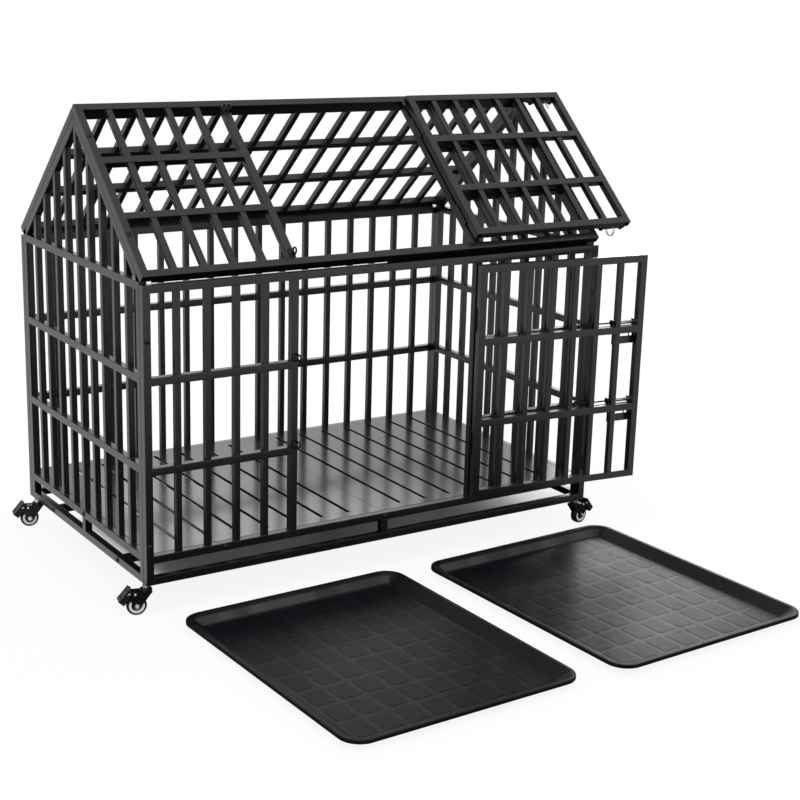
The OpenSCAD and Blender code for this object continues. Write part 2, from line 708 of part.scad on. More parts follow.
// Stem with the collar under the post and the head that carries the fork
module caster_stems() color([0.62, 0.62, 0.64])
    for (sx = [-1, 1], sy = [-1, 1]) at_stem(sx, sy, 0) {
        translate([0, 0, crown_z - play - stem_head_h])
            cylinder(r = stem_r, h = caster_h + stem_in_post - crown_z + play + stem_head_h);
        translate([0, 0, caster_h - stem_collar_h]) cylinder(r = stem_collar_r, h = stem_collar_h);
        translate([0, 0, crown_z - play - stem_head_h])
            cylinder(r = stem_collar_r, h = stem_head_h);
    }

// Stamped fork: a crown with the ball race, and two broad cheeks that taper to the axle
module cheek() difference() {
    hull() {
        translate([trail, wheel_r]) circle(r = fork_end_r);
        translate([pin_x, pin_z]) circle(r = fork_nose_r);
        translate([-race_r, crown_z]) square([2 * race_r + crown_reach, fork_t]);
    }
    translate([trail, wheel_r]) circle(r = axle_r);
    translate([pin_x, pin_z]) circle(r = pedal_pin_r);
    translate([trail + rivet_out, wheel_r + rivet_up]) circle(r = pedal_pin_r);
}
module fork() {
    race_h = caster_h - stem_collar_h - play - crown_z;
    for (s = [-1, 1]) translate([0, s * (cheek_y + fork_t / 2) + fork_t / 2, 0])
        rotate([90, 0, 0]) linear_extrude(fork_t) cheek();
    difference() {
        union() {
            translate([-race_r, -cheek_y - fork_t, crown_z])
                cube([2 * race_r + crown_reach, 2 * (cheek_y + fork_t), fork_t]);
            translate([0, 0, crown_z]) cylinder(r = race_r, h = race_h);
        }
        translate([0, 0, crown_z - 1]) cylinder(r = stem_r + running, h = caster_h);
    }
}

// Axle bolt, the pedal's pin and the rivet beside it, all held by the cheeks
module cross_pin(x, z, r, head, head_h, sides) translate([x, 0, z]) rotate([90, 0, 0]) {
    half = cheek_y + fork_t;
    cylinder(r = r, h = 2 * half, center = true);
    for (s = [-1, 1]) translate([0, 0, s * (half + head_h / 2)])
        cylinder(r = head, h = head_h, center = true, $fn = sides);
}
module axle() {
    cross_pin(trail, wheel_r, axle_r, nut_r, nut_h, 6);
    cross_pin(pin_x, pin_z, pedal_pin_r, rivet_head_r, rivet_head_h, 24);
    cross_pin(trail + rivet_out, wheel_r + rivet_up, pedal_pin_r, rivet_head_r, rivet_head_h, 24);
}

// Tyre with a rounded tread, seated on the hub
module tyre() on_axle() rotate_extrude() intersection() {
    translate([hub_r, -tyre_w / 2]) square([tyre_depth, tyre_w]);
    translate([wheel_r - tread_r, 0]) circle(r = tread_r, $fn = 64);
}

// Hub with a raised rim, a thin web and a boss that runs on the axle
module hub() on_axle() rotate_extrude() {
    bore = axle_r + running;
    translate([bore, -cheek_y + play]) square([hub_wall, 2 * (cheek_y - play)]);
    translate([bore, -hub_web / 2]) square([hub_r - bore, hub_web]);
    translate([hub_r - hub_rim, 1 - tyre_w / 2]) square([hub_rim, tyre_w - 2]);
}

// Brake pedal: a knuckle on the pin, a sloping plate in front of the fork and a shoe at the tyre
module pedal() {
    aim = atan2(pin_out, pin_up);
    shoe = norm([pin_out, pin_up]) - wheel_r - shoe_gap;
    root = pedal_pin_r + running + 0.6;
    neck_w = knuckle_w - 2;
    translate([pin_x, 0, pin_z]) {
        rotate([90, 0, 0]) difference() {
            cylinder(r = knuckle_r, h = knuckle_w, center = true);
            cylinder(r = pedal_pin_r + running, h = 2 * knuckle_w, center = true);
        }
        rotate([0, pedal_tilt, 0]) {
            translate([-pedal_up, -pedal_w / 2, fork_nose_r + 2 * play])
                cube([pedal_up + pedal_down, pedal_w, pedal_t]);
            translate([-knuckle_r, -neck_w / 2, root])
                cube([4 * knuckle_r, neck_w, fork_nose_r + 2 * play + pedal_t / 2 - root]);
        }
        rotate([0, aim, 0]) translate([-shoe_t / 2, -neck_w / 2, -shoe])
            cube([shoe_t, neck_w, shoe - root]);
    }
}

module fork_fl() color(fork_grey) on_fl() fork();
module axle_fl() color(steel) on_fl() axle();
module tyre_fl() color(rubber) on_fl() tyre();
module hub_fl() color(cream) on_fl() hub();
module pedal_fl() color(lever) on_fl() pedal();
module fork_fr() color(fork_grey) on_fr() fork();
module axle_fr() color(steel) on_fr() axle();
module tyre_fr() color(rubber) on_fr() tyre();
module hub_fr() color(cream) on_fr() hub();
module pedal_fr() color(lever) on_fr() pedal();
module fork_bl() color(fork_grey) on_bl() fork();
module axle_bl() color(steel) on_bl() axle();
module tyre_bl() color(rubber) on_bl() tyre();
module hub_bl() color(cream) on_bl() hub();
module pedal_bl() color(lever) on_bl() pedal();
module fork_br() color(fork_grey) on_br() fork();
module axle_br() color(steel) on_br() axle();
module tyre_br() color(rubber) on_br() tyre();
module hub_br() color(cream) on_br() hub();
module pedal_br() color(lever) on_br() pedal();

front_frame();
front_grille_left();
front_grille_right();
back_panel();
left_end_panel();
right_end_panel();
roof_front_frame();
roof_front_grille_left();
roof_front_grille_right();
roof_back_panel();
floor_panel_left();
floor_panel_right();
floor_bearers();
tray_beams();
door_catches();
hatch_catches();
door_hinge_leaves();
hatch_hinge_leaves();
hinge_pins();
panel_bolts();
caster_stems();
door();
door_hinge_knuckles();
door_lock_plates();
door_bolt_guides();
hatch();
hatch_hinge_knuckles();
hatch_bolt_guides();
door_bolt_upper();
door_bolt_lower();
hatch_bolt_upper();
hatch_bolt_lower();
hatch_rings_upper();
hatch_rings_lower();
tray_left();
tray_right();
fork_fl();
axle_fl();
tyre_fl();
hub_fl();
pedal_fl();
fork_fr();
axle_fr();
tyre_fr();
hub_fr();
pedal_fr();
fork_bl();
axle_bl();
tyre_bl();
hub_bl();
pedal_bl();
fork_br();
axle_br();
tyre_br();
hub_br();
pedal_br();
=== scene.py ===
"""Dresses the gabled dog crate: welded tube walls and roof, slotted floor, door, roof hatch, latches, trays
and casters, on a pale studio floor.

Lengths are in metres. A flat panel is drawn as X, height and outward, with its outer face at zero, and a
matrix then sets it on its side of the crate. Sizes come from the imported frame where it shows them.
"""

import math
import random

import bmesh
import bpy
from bpy.props import FloatProperty, FloatVectorProperty, IntProperty, PointerProperty
from mathutils import Matrix, Vector


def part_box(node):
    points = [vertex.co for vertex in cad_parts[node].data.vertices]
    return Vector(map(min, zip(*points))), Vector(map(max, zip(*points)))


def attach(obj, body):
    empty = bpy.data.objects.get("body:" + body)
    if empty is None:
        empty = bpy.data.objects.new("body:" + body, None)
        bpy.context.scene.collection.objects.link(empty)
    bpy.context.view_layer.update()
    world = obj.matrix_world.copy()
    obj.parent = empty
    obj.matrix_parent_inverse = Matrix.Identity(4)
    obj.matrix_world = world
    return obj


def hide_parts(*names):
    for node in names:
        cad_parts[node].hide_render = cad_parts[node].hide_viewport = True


bl_info = {
    "name": "Gabled dog crate",
    "version": (1, 0, 0),
    "blender": (4, 5, 0),
    "location": "View3D > Sidebar > Crate",
    "description": "Builds the looks of a gabled dog crate round its packed frame",
    "category": "Add Mesh",
}

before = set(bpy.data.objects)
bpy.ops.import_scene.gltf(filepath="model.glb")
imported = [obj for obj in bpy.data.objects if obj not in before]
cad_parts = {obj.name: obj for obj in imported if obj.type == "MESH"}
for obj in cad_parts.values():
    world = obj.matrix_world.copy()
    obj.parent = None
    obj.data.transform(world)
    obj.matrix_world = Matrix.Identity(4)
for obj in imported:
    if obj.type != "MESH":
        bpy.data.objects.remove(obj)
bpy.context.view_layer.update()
FRONT_LO, FRONT_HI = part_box("front_frame")
DROP = 0.0055
# How far welded tubes run into each other.
LAP = 0.002
# How much weld beads differ in size, and how far they lie off the middle of a tube.
BEAD_GROWTH = (0.8, 1.2)
BEAD_SHIFT = 0.0008
# Points nearer than this are one point.
SAME_SPOT = 1e-6
# Rounding of sharp edges.
PIN_EDGE = 0.0003
PLATE_EDGE = 0.0004
EAR_EDGE = 0.0005
PRESSED_EDGE = 0.0006
PEDAL_EDGE = 0.0007
# Least and greatest area of the end face of a frame tube, and how near to a level a face counts as on it.
TUBE_END = (1e-4, 1e-3)
NEAR = 1e-4
CASTERS = {"fl": "front_left", "fr": "front_right", "bl": "back_left", "br": "back_right"}


def metres(name, description, default):
    """A length that can be set in the panel."""
    return FloatProperty(name=name, description=description, default=default, unit="LENGTH")


def degrees(name, description, default):
    """An angle that can be set in the panel."""
    turn = math.radians(default)
    return FloatProperty(name=name, description=description, default=turn, subtype="ANGLE", unit="ROTATION")


def colour(name, description, default):
    """A colour that can be set in the panel."""
    return FloatVectorProperty(
        name=name, description=description, default=default, subtype="COLOR", min=0, max=1
    )


class CrateSizes(bpy.types.PropertyGroup):
    """Sizes of the welded crate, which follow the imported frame."""

    length: metres("Length", "Length along the front", FRONT_HI.x - FRONT_LO.x)
    width: metres("Width", "From front to back", -2 * FRONT_LO.y)
    ride: metres("Ride height", "Ground to the bottom rail", FRONT_LO.z)
    drop: metres("Drop", "How far the long walls end below the end walls", DROP)
    wall: metres("Wall height", "Height of the end walls at the eaves", FRONT_HI.z - FRONT_LO.z + DROP)
    tube: metres("Tube", "Side of the frame tube", FRONT_HI.y - FRONT_LO.y)
    bar: metres("Bar", "Side of a grille bar", 0.016)
    pitch: degrees("Roof pitch", "Slope of the roof", 42.4)
    slot: metres("Tray slot", "Height of the tray slot", 0.035)
    seat_gap: metres("Roof seat", "Gap under the roof frames", 0.0003)
    opening: metres("Opening", "Width of the doorway", 0.536)
    leaf_gap: metres("Leaf gap", "Gap beside a leaf", 0.004)
    door_gap: metres("Door gap", "Gap over and under the door", 0.007)
    hinge_out: metres("Hinge", "Hinge line before the face", 0.0043)
    door_open: degrees("Door", "How far the door stands open", 173.6)
    hatch_open: degrees("Hatch", "How far the hatch stands open", 180)
    rails: IntProperty(name="Rails", description="Rails across each grille", default=2, min=1)
    side_bars: IntProperty(name="Side bars", description="Bars beside the doorway", default=4, min=1)
    leaf_bars: IntProperty(name="Leaf bars", description="Bars in the door and the hatch", default=6, min=1)
    back_bars: IntProperty(name="Back bars", description="Bars in the back wall", default=16, min=1)
    end_bars: IntProperty(name="End bars", description="Bars in an end wall", default=9, min=1)
    corner: metres("Corner", "Outer corner radius of the tube", 0.0016)
    bead: metres("Weld bead", "Radius of a weld bead", 0.0019)
    bead_run: metres("Bead run", "Half the length of a bead, across the bar", 0.0062)
    open_wall: metres("Open wall", "Wall of a tube whose end is open", 0.0016)
    open_deep: metres("Open depth", "Depth to which an open end is hollow", 0.030)


class TraySizes(bpy.types.PropertyGroup):
    """Sizes of the two trays and where they lie on the ground."""

    length: metres("Length", "Length along the front", 0.628)
    depth: metres("Depth", "From front to back", 0.772)
    height: metres("Height", "Height of the lip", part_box("tray_left")[1].z)
    thick: metres("Thickness", "Thickness of the plastic", 0.0025)
    lip: metres("Lip", "Width of the lip", 0.010)
    skirt: metres("Skirt", "Edge turned down from the lip", 0.009)
    draft: metres("Draft", "Lean of the wall", 0.034)
    corner: metres("Corner", "Corner radius of the lip", 0.052)
    foot_round: metres("Foot", "Rounding where the walls meet the floor", 0.004)
    lip_round: metres("Inner lip", "Rounding where the lip meets the walls", 0.0014)
    rim_round: metres("Rim", "Rounding of the lip's outer edge", 0.0024)
    pads: IntProperty(name="Pads", description="Raised pads in a row", default=8, min=1)
    pad_corner: metres("Pad corner", "Corner radius of a pad", 0.005)
    pad_lift: metres("Pad lift", "How far the pads lie over the floor's face", 0.00005)
    pad_gap: metres("Pad gap", "Gap between two pads", 0.015)
    pad_edge: metres("Pad edge", "Slope at a pad's edge", 0.004)
    pad_rise: metres("Pad rise", "Height of a pad", 0.0005)
    turns: FloatVectorProperty(
        name="Turns", description="How far the trays are turned on the ground", size=2, subtype="EULER",
        default=(math.radians(1.5), math.radians(2.2)), unit="ROTATION",
    )


class CasterSizes(bpy.types.PropertyGroup):
    """Sizes of a caster, with its own X along the trail."""

    trail: metres("Trail", "Stem to axle", 0.024)
    wheel: metres("Wheel", "Radius of the wheel", 0.0255)
    tyre: metres("Tyre", "Width of the tyre", 0.021)
    hub: metres("Hub", "Radius of the hub", 0.020)
    cheek: metres("Cheek", "Axle to the inside of a cheek", 0.012)
    plate: metres("Plate", "Thickness of the fork", 0.002)
    crown: metres("Crown", "Height of the fork's crown", 0.060)
    race: metres("Race", "Height of the ball race on the crown", 0.006)
    pin_out: metres("Pin out", "Axle to pedal pin, along", 0.0183)
    pin_up: metres("Pin up", "Axle to pedal pin, up", 0.0333)
    rivet_out: metres("Rivet out", "Axle to rivet, along", 0.004)
    rivet_up: metres("Rivet up", "Axle to rivet, up", 0.031)
    axle: metres("Axle", "Radius of the axle", 0.0029)
    pin: metres("Pin", "Radius of the pedal pin and the rivet", 0.0019)
    tilt: degrees("Pedal tilt", "Slope of the pedal plate", 50.4)
    turns: FloatVectorProperty(
        name="Turns", description="Swivel of the four casters", size=4,
        default=(math.radians(165), math.radians(11), math.radians(168), math.radians(8)), unit="ROTATION",
    )


class CrateColours(bpy.types.PropertyGroup):
    """Colours of the finishes, as the renderer reads them."""

    coat: colour("Coat", "Powder coat on the tubes", (0.0012, 0.0012, 0.0014))
    coat_cloud: colour("Coat clouds", "Paler clouds in the coat", (0.0027, 0.0026, 0.0026))
    coat_edge: colour("Coat edges", "Coat on the tubes' edges", (0.010, 0.010, 0.0105))
    coat_dust: colour("Coat dust", "Dust on top faces", (0.024, 0.0235, 0.0225))
    sheet: colour("Sheet", "Coat on the floor sheets", (0.007, 0.007, 0.0073))
    sheet_cloud: colour("Sheet clouds", "Paler clouds on the sheets", (0.013, 0.013, 0.0135))
    fastener: colour("Fasteners", "Black zinc", (0.0026, 0.0026, 0.0028))
    fastener_worn: colour("Worn fasteners", "Black zinc where it is worn", (0.014, 0.014, 0.0145))
    zinc: colour("Zinc", "Bright zinc plate", (0.60, 0.595, 0.585))
    zinc_cloud: colour("Zinc clouds", "Paler clouds in the zinc", (0.80, 0.795, 0.785))
    ring: colour("Ring wire", "Nickel wire", (0.36, 0.31, 0.24))
    ring_cloud: colour("Ring clouds", "Paler clouds on the wire", (0.58, 0.53, 0.45))
    rod: colour("Rods", "Plated rods", (0.54, 0.49, 0.44))
    rod_cloud: colour("Rod clouds", "Paler clouds on the rods", (0.68, 0.63, 0.57))
    fork: colour("Forks", "Gloss black steel", (0.0020, 0.0020, 0.0022))
    fork_cloud: colour("Fork clouds", "Paler clouds on the forks", (0.0036, 0.0036, 0.0038))
    tyre: colour("Tyres", "Black rubber", (0.0032, 0.0032, 0.0034))
    tyre_dust: colour("Tyre dust", "Dust on the rubber", (0.016, 0.0155, 0.0150))
    hub: colour("Wheel rings", "Cream plastic", (0.70, 0.69, 0.655))
    hub_cloud: colour("Wheel ring clouds", "Paler clouds in the cream", (0.78, 0.77, 0.735))
    dish: colour("Wheel dishes", "Black plastic", (0.0030, 0.0030, 0.0032))
    dish_cloud: colour("Wheel dish clouds", "Paler clouds in the dishes", (0.0055, 0.0055, 0.0057))
    pedal: colour("Pedals", "Black plastic", (0.0060, 0.0060, 0.0064))
    pedal_cloud: colour("Pedal clouds", "Paler clouds in the pedals", (0.0105, 0.0105, 0.0110))
    tray: colour("Trays", "Black plastic, faintly blue", (0.0017, 0.0022, 0.0036))
    tray_cloud: colour("Tray clouds", "Paler clouds in the trays", (0.0034, 0.0040, 0.0058))
    tray_rub: colour("Tray rubs", "Rub marks on the trays", (0.010, 0.0108, 0.0125))
    # Tray walls: a painted highlight, a sheen painted into the colour of the far walls.
    painted_tray_wall_sheen: colour("Tray walls", "Sheen on the far walls", (0.050, 0.050, 0.051))


class StageSettings(bpy.types.PropertyGroup):
    """Camera, floor and light."""

    eye: FloatVectorProperty(
        name="Camera", description="Place of the camera", default=(-2.1708, -3.7228, 1.5531), unit="LENGTH",
        subtype="TRANSLATION",
    )
    azimuth: degrees("Azimuth", "Camera's turn round the crate", -33.584)
    elevation: degrees("Elevation", "Camera's height angle", 15.28)
    roll: degrees("Roll", "Camera's roll", 1.6343)
    lens: FloatProperty(name="Lens", description="Focal length in millimetres", default=71.26)
    sensor: FloatProperty(name="Sensor", description="Sensor width in millimetres", default=36)
    ground: metres("Floor", "Half the floor's width", 30)
    ground_drop: metres("Floor drop", "Floor's face below the wheels", 0.0004)
    fill: FloatProperty(name="Fill", description="Light from all round", default=0.8, min=0)
    overhead: FloatProperty(
        name="Overhead", description="Share of the light that is left overhead", default=0.85, min=0
    )
    sun: FloatProperty(name="Key", description="Strength of the soft key light", default=1.3, min=0)
    sun_spread: degrees("Key spread", "Angle that the key light fills", 70)
    sun_turn: FloatVectorProperty(
        name="Key turn", description="Turn of the key light", subtype="EULER", unit="ROTATION",
        default=(math.radians(28), math.radians(-22), 0),
    )
    rim: FloatProperty(name="Rim", description="Power of the soft lamp behind the crate", default=30, min=0)
    low: FloatProperty(
        name="Low", description="Power of the small lamp behind the right end", default=34, min=0
    )
    # The paper colour is darker than the clear paper where it lies under the crate: painted shade.
    paper: colour("Paper", "Floor paper in the crate's shadow", (0.6, 0.6, 0.6))
    # The paper as shiny faces show it, much darker than it is: a painted reflection.
    paper_painted_reflection: colour("Mirrored paper", "Floor paper as shiny faces show it", (0.13, 0.13, 0.13))
    paper_clear: colour("Clear paper", "Floor paper outside the shadow", (0.95, 0.95, 0.95))
    lift: FloatProperty(
        name="Lift", description="Share of the floor that shows as plain white", default=0.88, min=0
    )


class Layout:
    """Levels and places in the crate, worked out from its sizes."""

    def __init__(self):
        s = bpy.context.scene.crate_sizes
        self.tube, self.bar, self.wall, self.pitch = s.tube, s.bar, s.wall, s.pitch
        self.sizes = s
        self.half_l, self.half_w = s.length / 2, s.width / 2
        # Levels over the foot of the walls, and lengths up the slopes of the roof.
        self.long_wall = s.wall - s.drop
        self.floor = s.tube + s.slot
        self.deck = self.floor + s.tube
        self.eave = s.wall + s.seat_gap + s.tube * math.cos(s.pitch)
        self.slope = self.half_w / math.cos(s.pitch)
        self.slope_back = self.slope - s.tube / math.sin(2 * s.pitch) - s.seat_gap
        # Middle of a jamb, clear width of a fixed grille, width of a leaf and the ends of the two leaves.
        self.jamb = (s.opening + s.tube) / 2
        self.section = self.half_l - 2 * s.tube - s.opening / 2
        self.leaf = s.opening - 2 * s.leaf_gap
        self.door_v = (self.deck + s.door_gap, s.wall - s.tube - s.door_gap)
        self.hatch_v = (s.tube + s.leaf_gap, self.slope - s.tube - s.leaf_gap)
        self.wall_rails = self.rails(self.deck, s.wall)
        self.long_rails = self.rails(self.deck, self.long_wall)
        self.roof_rails = self.rails(s.tube, self.slope)
        self.roof_back_rails = self.rails(s.tube, self.slope_back)
        # Where each flat panel stands.
        stand, half_turn = Matrix.Rotation(math.pi / 2, 4, "X"), Matrix.Rotation(math.pi, 4, "Z")
        self.front = Matrix.Translation((0, -self.half_w, s.ride)) @ stand
        self.back = half_turn @ self.front
        to_left, to_right = (Matrix.Rotation(side * math.pi / 2, 4, "Z") for side in (-1, 1))
        self.left = Matrix.Translation((-self.half_l, 0, s.ride)) @ to_left @ stand
        self.right = Matrix.Translation((self.half_l, 0, s.ride)) @ to_right @ stand
        eaves = Matrix.Translation((0, -self.half_w, s.ride + self.eave))
        self.roof_front = eaves @ Matrix.Rotation(s.pitch, 4, "X")
        self.roof_back = half_turn @ self.roof_front
        self.door = self.front @ self.swung(s.door_open)
        self.hatch = self.roof_front @ self.swung(s.hatch_open)

    def rails(self, lo, hi):
        """Middles of the rails between two rails whose top edges are at lo and hi."""
        count = self.sizes.rails
        return [lo - self.tube / 2 + i * (hi - lo) / (count + 1) for i in range(1, count + 1)]

    def gable(self, y):
        """Underside of the roof over a distance from the middle of an end wall."""
        drop = (self.tube + self.sizes.seat_gap) / math.cos(self.pitch)
        return self.eave - drop + (self.half_w - abs(y)) * math.tan(self.pitch)

    def swung(self, angle):
        """Turn of a leaf about its hinge line."""
        line = Vector(((self.sizes.opening - self.sizes.leaf_gap) / 2, 0, self.sizes.hinge_out))
        return Matrix.Translation(line) @ Matrix.Rotation(angle, 4, "Y") @ Matrix.Translation(-line)


class Wire:
    """A node socket that takes part in sums."""

    def __init__(self, finish, socket):
        self.finish, self.socket = finish, socket

    def _sum(self, operation, *values):
        node = self.finish.node("ShaderNodeMath", {"operation": operation}, dict(enumerate(values)))
        return Wire(self.finish, node.outputs[0])

    def __add__(self, other):
        return self._sum("ADD", self, other)

    def __radd__(self, other):
        return self._sum("ADD", other, self)

    def __sub__(self, other):
        return self._sum("SUBTRACT", self, other)

    def __rsub__(self, other):
        return self._sum("SUBTRACT", other, self)

    def __mul__(self, other):
        return self._sum("MULTIPLY", self, other)

    def __rmul__(self, other):
        return self._sum("MULTIPLY", other, self)

    def highest(self, other):
        """The greater of two values."""
        return self._sum("MAXIMUM", self, other)

    def ramp(self, lo, hi):
        """Smooth step from 0 at lo to 1 at hi."""
        inputs = {"Value": self, "From Min": lo, "From Max": hi}
        node = self.finish.node("ShaderNodeMapRange", {"interpolation_type": "SMOOTHSTEP"}, inputs)
        return Wire(self.finish, node.outputs["Result"])


class Finish:
    """A procedural material under construction."""

    def __init__(self, tree):
        self.tree = tree
        self.colours = bpy.context.scene.crate_colours
        tree.nodes.clear()

    def node(self, kind, settings=None, inputs=None):
        """A node with its settings, and the values or links of its sockets."""
        made = self.tree.nodes.new(kind)
        for name, value in (settings or {}).items():
            setattr(made, name, value)
        for name, value in (inputs or {}).items():
            if isinstance(value, Wire):
                self.tree.links.new(value.socket, made.inputs[name])
            else:
                made.inputs[name].default_value = value
        return made

    def wire(self, node, output=0):
        """One output of a node."""
        return Wire(self, node.outputs[output])

    def place(self, stretch=(1, 1, 1)):
        """Object coordinates, stretched."""
        spot = self.wire(self.node("ShaderNodeTexCoord"), "Object")
        scaled = self.node("ShaderNodeVectorMath", {"operation": "MULTIPLY"}, {0: spot, 1: stretch})
        return self.wire(scaled)

    def noise(self, spot, scale, detail=2.0, roughness=0.5):
        """Cloudy noise about one half."""
        inputs = {"Vector": spot, "Scale": scale, "Detail": detail, "Roughness": roughness}
        return self.wire(self.node("ShaderNodeTexNoise", {}, inputs), "Fac")

    def attribute(self, name):
        """A value that the mesh carries."""
        return self.wire(self.node("ShaderNodeAttribute", {"attribute_name": name}), "Fac")

    def facing(self, axis, sign=1.0):
        """1 on faces that look along an axis, 0 on faces that look away from it or sideways."""
        normal = self.wire(self.node("ShaderNodeNewGeometry"), "Normal")
        parts = self.node("ShaderNodeSeparateXYZ", {}, {"Vector": normal})
        return (sign * self.wire(parts, axis)).highest(0.0)

    def tint(self, share, low, high):
        """Colour between low and high."""
        # The node has an A and a B for each type of data, so its colours go by number.
        low, high = (end if isinstance(end, Wire) else (*end, 1) for end in (low, high))
        inputs = {0: share, 6: low, 7: high}
        return self.wire(self.node("ShaderNodeMix", {"data_type": "RGBA"}, inputs), 2)

    def bump(self, height, strength, distance):
        """Normals of a finely uneven surface."""
        inputs = {"Height": height, "Strength": strength, "Distance": distance}
        return self.wire(self.node("ShaderNodeBump", {}, inputs))

    def surface(self, base, roughness, normal=None, **settings):
        """Ends the material in one surface."""
        inputs = {"Base Color": base, "Roughness": roughness, **settings}
        if normal is not None:
            inputs["Normal"] = normal
        shader = self.node("ShaderNodeBsdfPrincipled", {}, inputs)
        self.node("ShaderNodeOutputMaterial", {}, {"Surface": self.wire(shader)})


def powder_coat(f):
    """Satin black coat with fine orange peel, a little dust on top faces and shinier edges."""
    spot = f.place()
    cloud = f.noise(spot, 5, 4)
    grain = f.noise(spot, 160, 3)
    peel = f.noise(spot, 620, 2)
    edge = f.attribute("edge")
    dust = f.facing("Z").ramp(0.6, 1.0) * f.noise(spot, 22, 5).ramp(0.35, 0.75)
    base = f.tint(cloud.ramp(0.3, 0.7), f.colours.coat, f.colours.coat_cloud)
    base = f.tint(edge * 0.5, base, f.colours.coat_edge)
    base = f.tint(dust * 0.35, base, f.colours.coat_dust)
    rough = 0.29 + 0.08 * (cloud - 0.5) + 0.08 * (grain - 0.5) + 0.05 * dust - 0.04 * edge
    f.surface(base, rough, f.bump(peel, 0.18, 0.00018), IOR=1.55)


def floor_sheet(f):
    """Smooth semi-gloss coat on the floor sheets, with faint scuffs."""
    spot = f.place()
    cloud = f.noise(spot, 4, 4)
    scuff = f.noise(f.place((4, 60, 4)), 3, 5, 0.6).ramp(0.52, 0.75)
    base = f.tint(cloud.ramp(0.3, 0.7), f.colours.sheet, f.colours.sheet_cloud)
    rough = 0.17 + 0.06 * (cloud - 0.5) + 0.06 * scuff
    f.surface(base, rough, f.bump(f.noise(spot, 480, 2), 0.04, 0.0002), IOR=1.45)


def black_fastener(f):
    """Black zinc on bolts, washers and latch ears."""
    spot = f.place()
    worn = f.noise(spot, 260, 4).ramp(0.55, 0.8)
    base = f.tint(worn * 0.5, f.colours.fastener, f.colours.fastener_worn)
    f.surface(base, 0.30 + 0.18 * worn, f.bump(f.noise(spot, 900, 2), 0.12, 0.0002), IOR=1.38)


def zinc_steel(f):
    """Bright zinc plate with soft clouds."""
    spot = f.place()
    cloud = f.noise(spot, 180, 4)
    base = f.tint(cloud.ramp(0.3, 0.75), f.colours.zinc, f.colours.zinc_cloud)
    f.surface(base, 0.24 + 0.2 * cloud, f.bump(f.noise(spot, 1500, 2), 0.10, 0.0001), Metallic=1.0)


def ring_wire(f):
    """Nickel wire with a slightly brassy tint."""
    spot = f.place()
    cloud = f.noise(spot, 300, 3)
    base = f.tint(cloud.ramp(0.3, 0.7), f.colours.ring, f.colours.ring_cloud)
    f.surface(base, 0.26 + 0.1 * cloud, Metallic=1.0)


def rod_steel(f):
    """Plated rods with a warm, dull tint."""
    spot = f.place()
    cloud = f.noise(spot, 240, 4)
    base = f.tint(cloud.ramp(0.3, 0.7), f.colours.rod, f.colours.rod_cloud)
    f.surface(base, 0.34 + 0.12 * cloud, f.bump(f.noise(spot, 1500, 2), 0.10, 0.0001), Metallic=1.0)


def fork_black(f):
    """Gloss black stamped steel."""
    spot = f.place()
    cloud = f.noise(spot, 90, 3)
    base = f.tint(cloud.ramp(0.3, 0.7), f.colours.fork, f.colours.fork_cloud)
    f.surface(base, 0.16 + 0.12 * cloud, f.bump(f.noise(spot, 700, 2), 0.06, 0.0002), IOR=1.30)


def tyre_rubber(f):
    """Matt black rubber with a little dust on the tread."""
    spot = f.place()
    dust = f.noise(spot, 240, 4).ramp(0.5, 0.8)
    base = f.tint(dust * 0.4, f.colours.tyre, f.colours.tyre_dust)
    f.surface(base, 0.46 + 0.2 * dust, f.bump(f.noise(spot, 1100, 2), 0.2, 0.0002), IOR=1.35)


def hub_plastic(f):
    """Cream moulded ring."""
    spot = f.place()
    cloud = f.noise(spot, 150, 3)
    base = f.tint(cloud.ramp(0.3, 0.7), f.colours.hub, f.colours.hub_cloud)
    f.surface(base, 0.42 + 0.12 * cloud, f.bump(f.noise(spot, 1200, 2), 0.08, 0.0002))


def hub_dish(f):
    """Black moulded centre of a wheel."""
    spot = f.place()
    cloud = f.noise(spot, 150, 3)
    base = f.tint(cloud.ramp(0.3, 0.7), f.colours.dish, f.colours.dish_cloud)
    f.surface(base, 0.36 + 0.14 * cloud, IOR=1.35)


def pedal_plastic(f):
    """Black moulded pedal with a fine grain."""
    spot = f.place()
    grain = f.noise(spot, 1300, 2)
    base = f.tint(f.noise(spot, 70, 3).ramp(0.3, 0.7), f.colours.pedal, f.colours.pedal_cloud)
    f.surface(base, 0.36 + 0.12 * grain, f.bump(grain, 0.25, 0.0002), IOR=1.28)


def tray_plastic(f, ior=1.245):
    """Black semi-gloss plastic, faintly blue, with a fine grain, rub marks and a painted sheen, a highlight
    painted into the colour, on the far walls.
    """
    spot = f.place()
    cloud = f.noise(spot, 7, 5)
    rub = f.noise(f.place((30, 7, 30)), 3, 5, 0.6).ramp(0.5, 0.8)
    grain = f.noise(spot, 900, 3)
    base = f.tint(cloud.ramp(0.3, 0.7), f.colours.tray, f.colours.tray_cloud)
    base = f.tint(rub * 0.25, base, f.colours.tray_rub)
    # The painted sheen, a highlight painted into the base colour, lies between the floor and the lip, on
    # walls that lean back and look to the front.
    height = f.wire(f.node("ShaderNodeSeparateXYZ", {}, {"Vector": spot}), "Z")
    wall = height.ramp(0.0045, 0.0075) * (1.0 - height.ramp(0.0175, 0.0205))
    wall = wall * f.facing("Y", -1.0).ramp(0.25, 0.45) * f.facing("Z").ramp(0.3, 0.6)
    painted_sheen_streak = f.noise(f.place((5, 1, 1)), 2.2, 3).ramp(0.35, 0.7)
    base = f.tint(wall * (0.4 + 0.6 * painted_sheen_streak), base, f.colours.painted_tray_wall_sheen)
    rough = 0.40 + 0.08 * (cloud - 0.5) + 0.08 * rub
    f.surface(base, rough, f.bump(grain, 0.05, 0.0002), IOR=ior)


def tray_pad(f):
    """The same plastic on the pads, a little duller than the ground between them."""
    tray_plastic(f, 1.20)


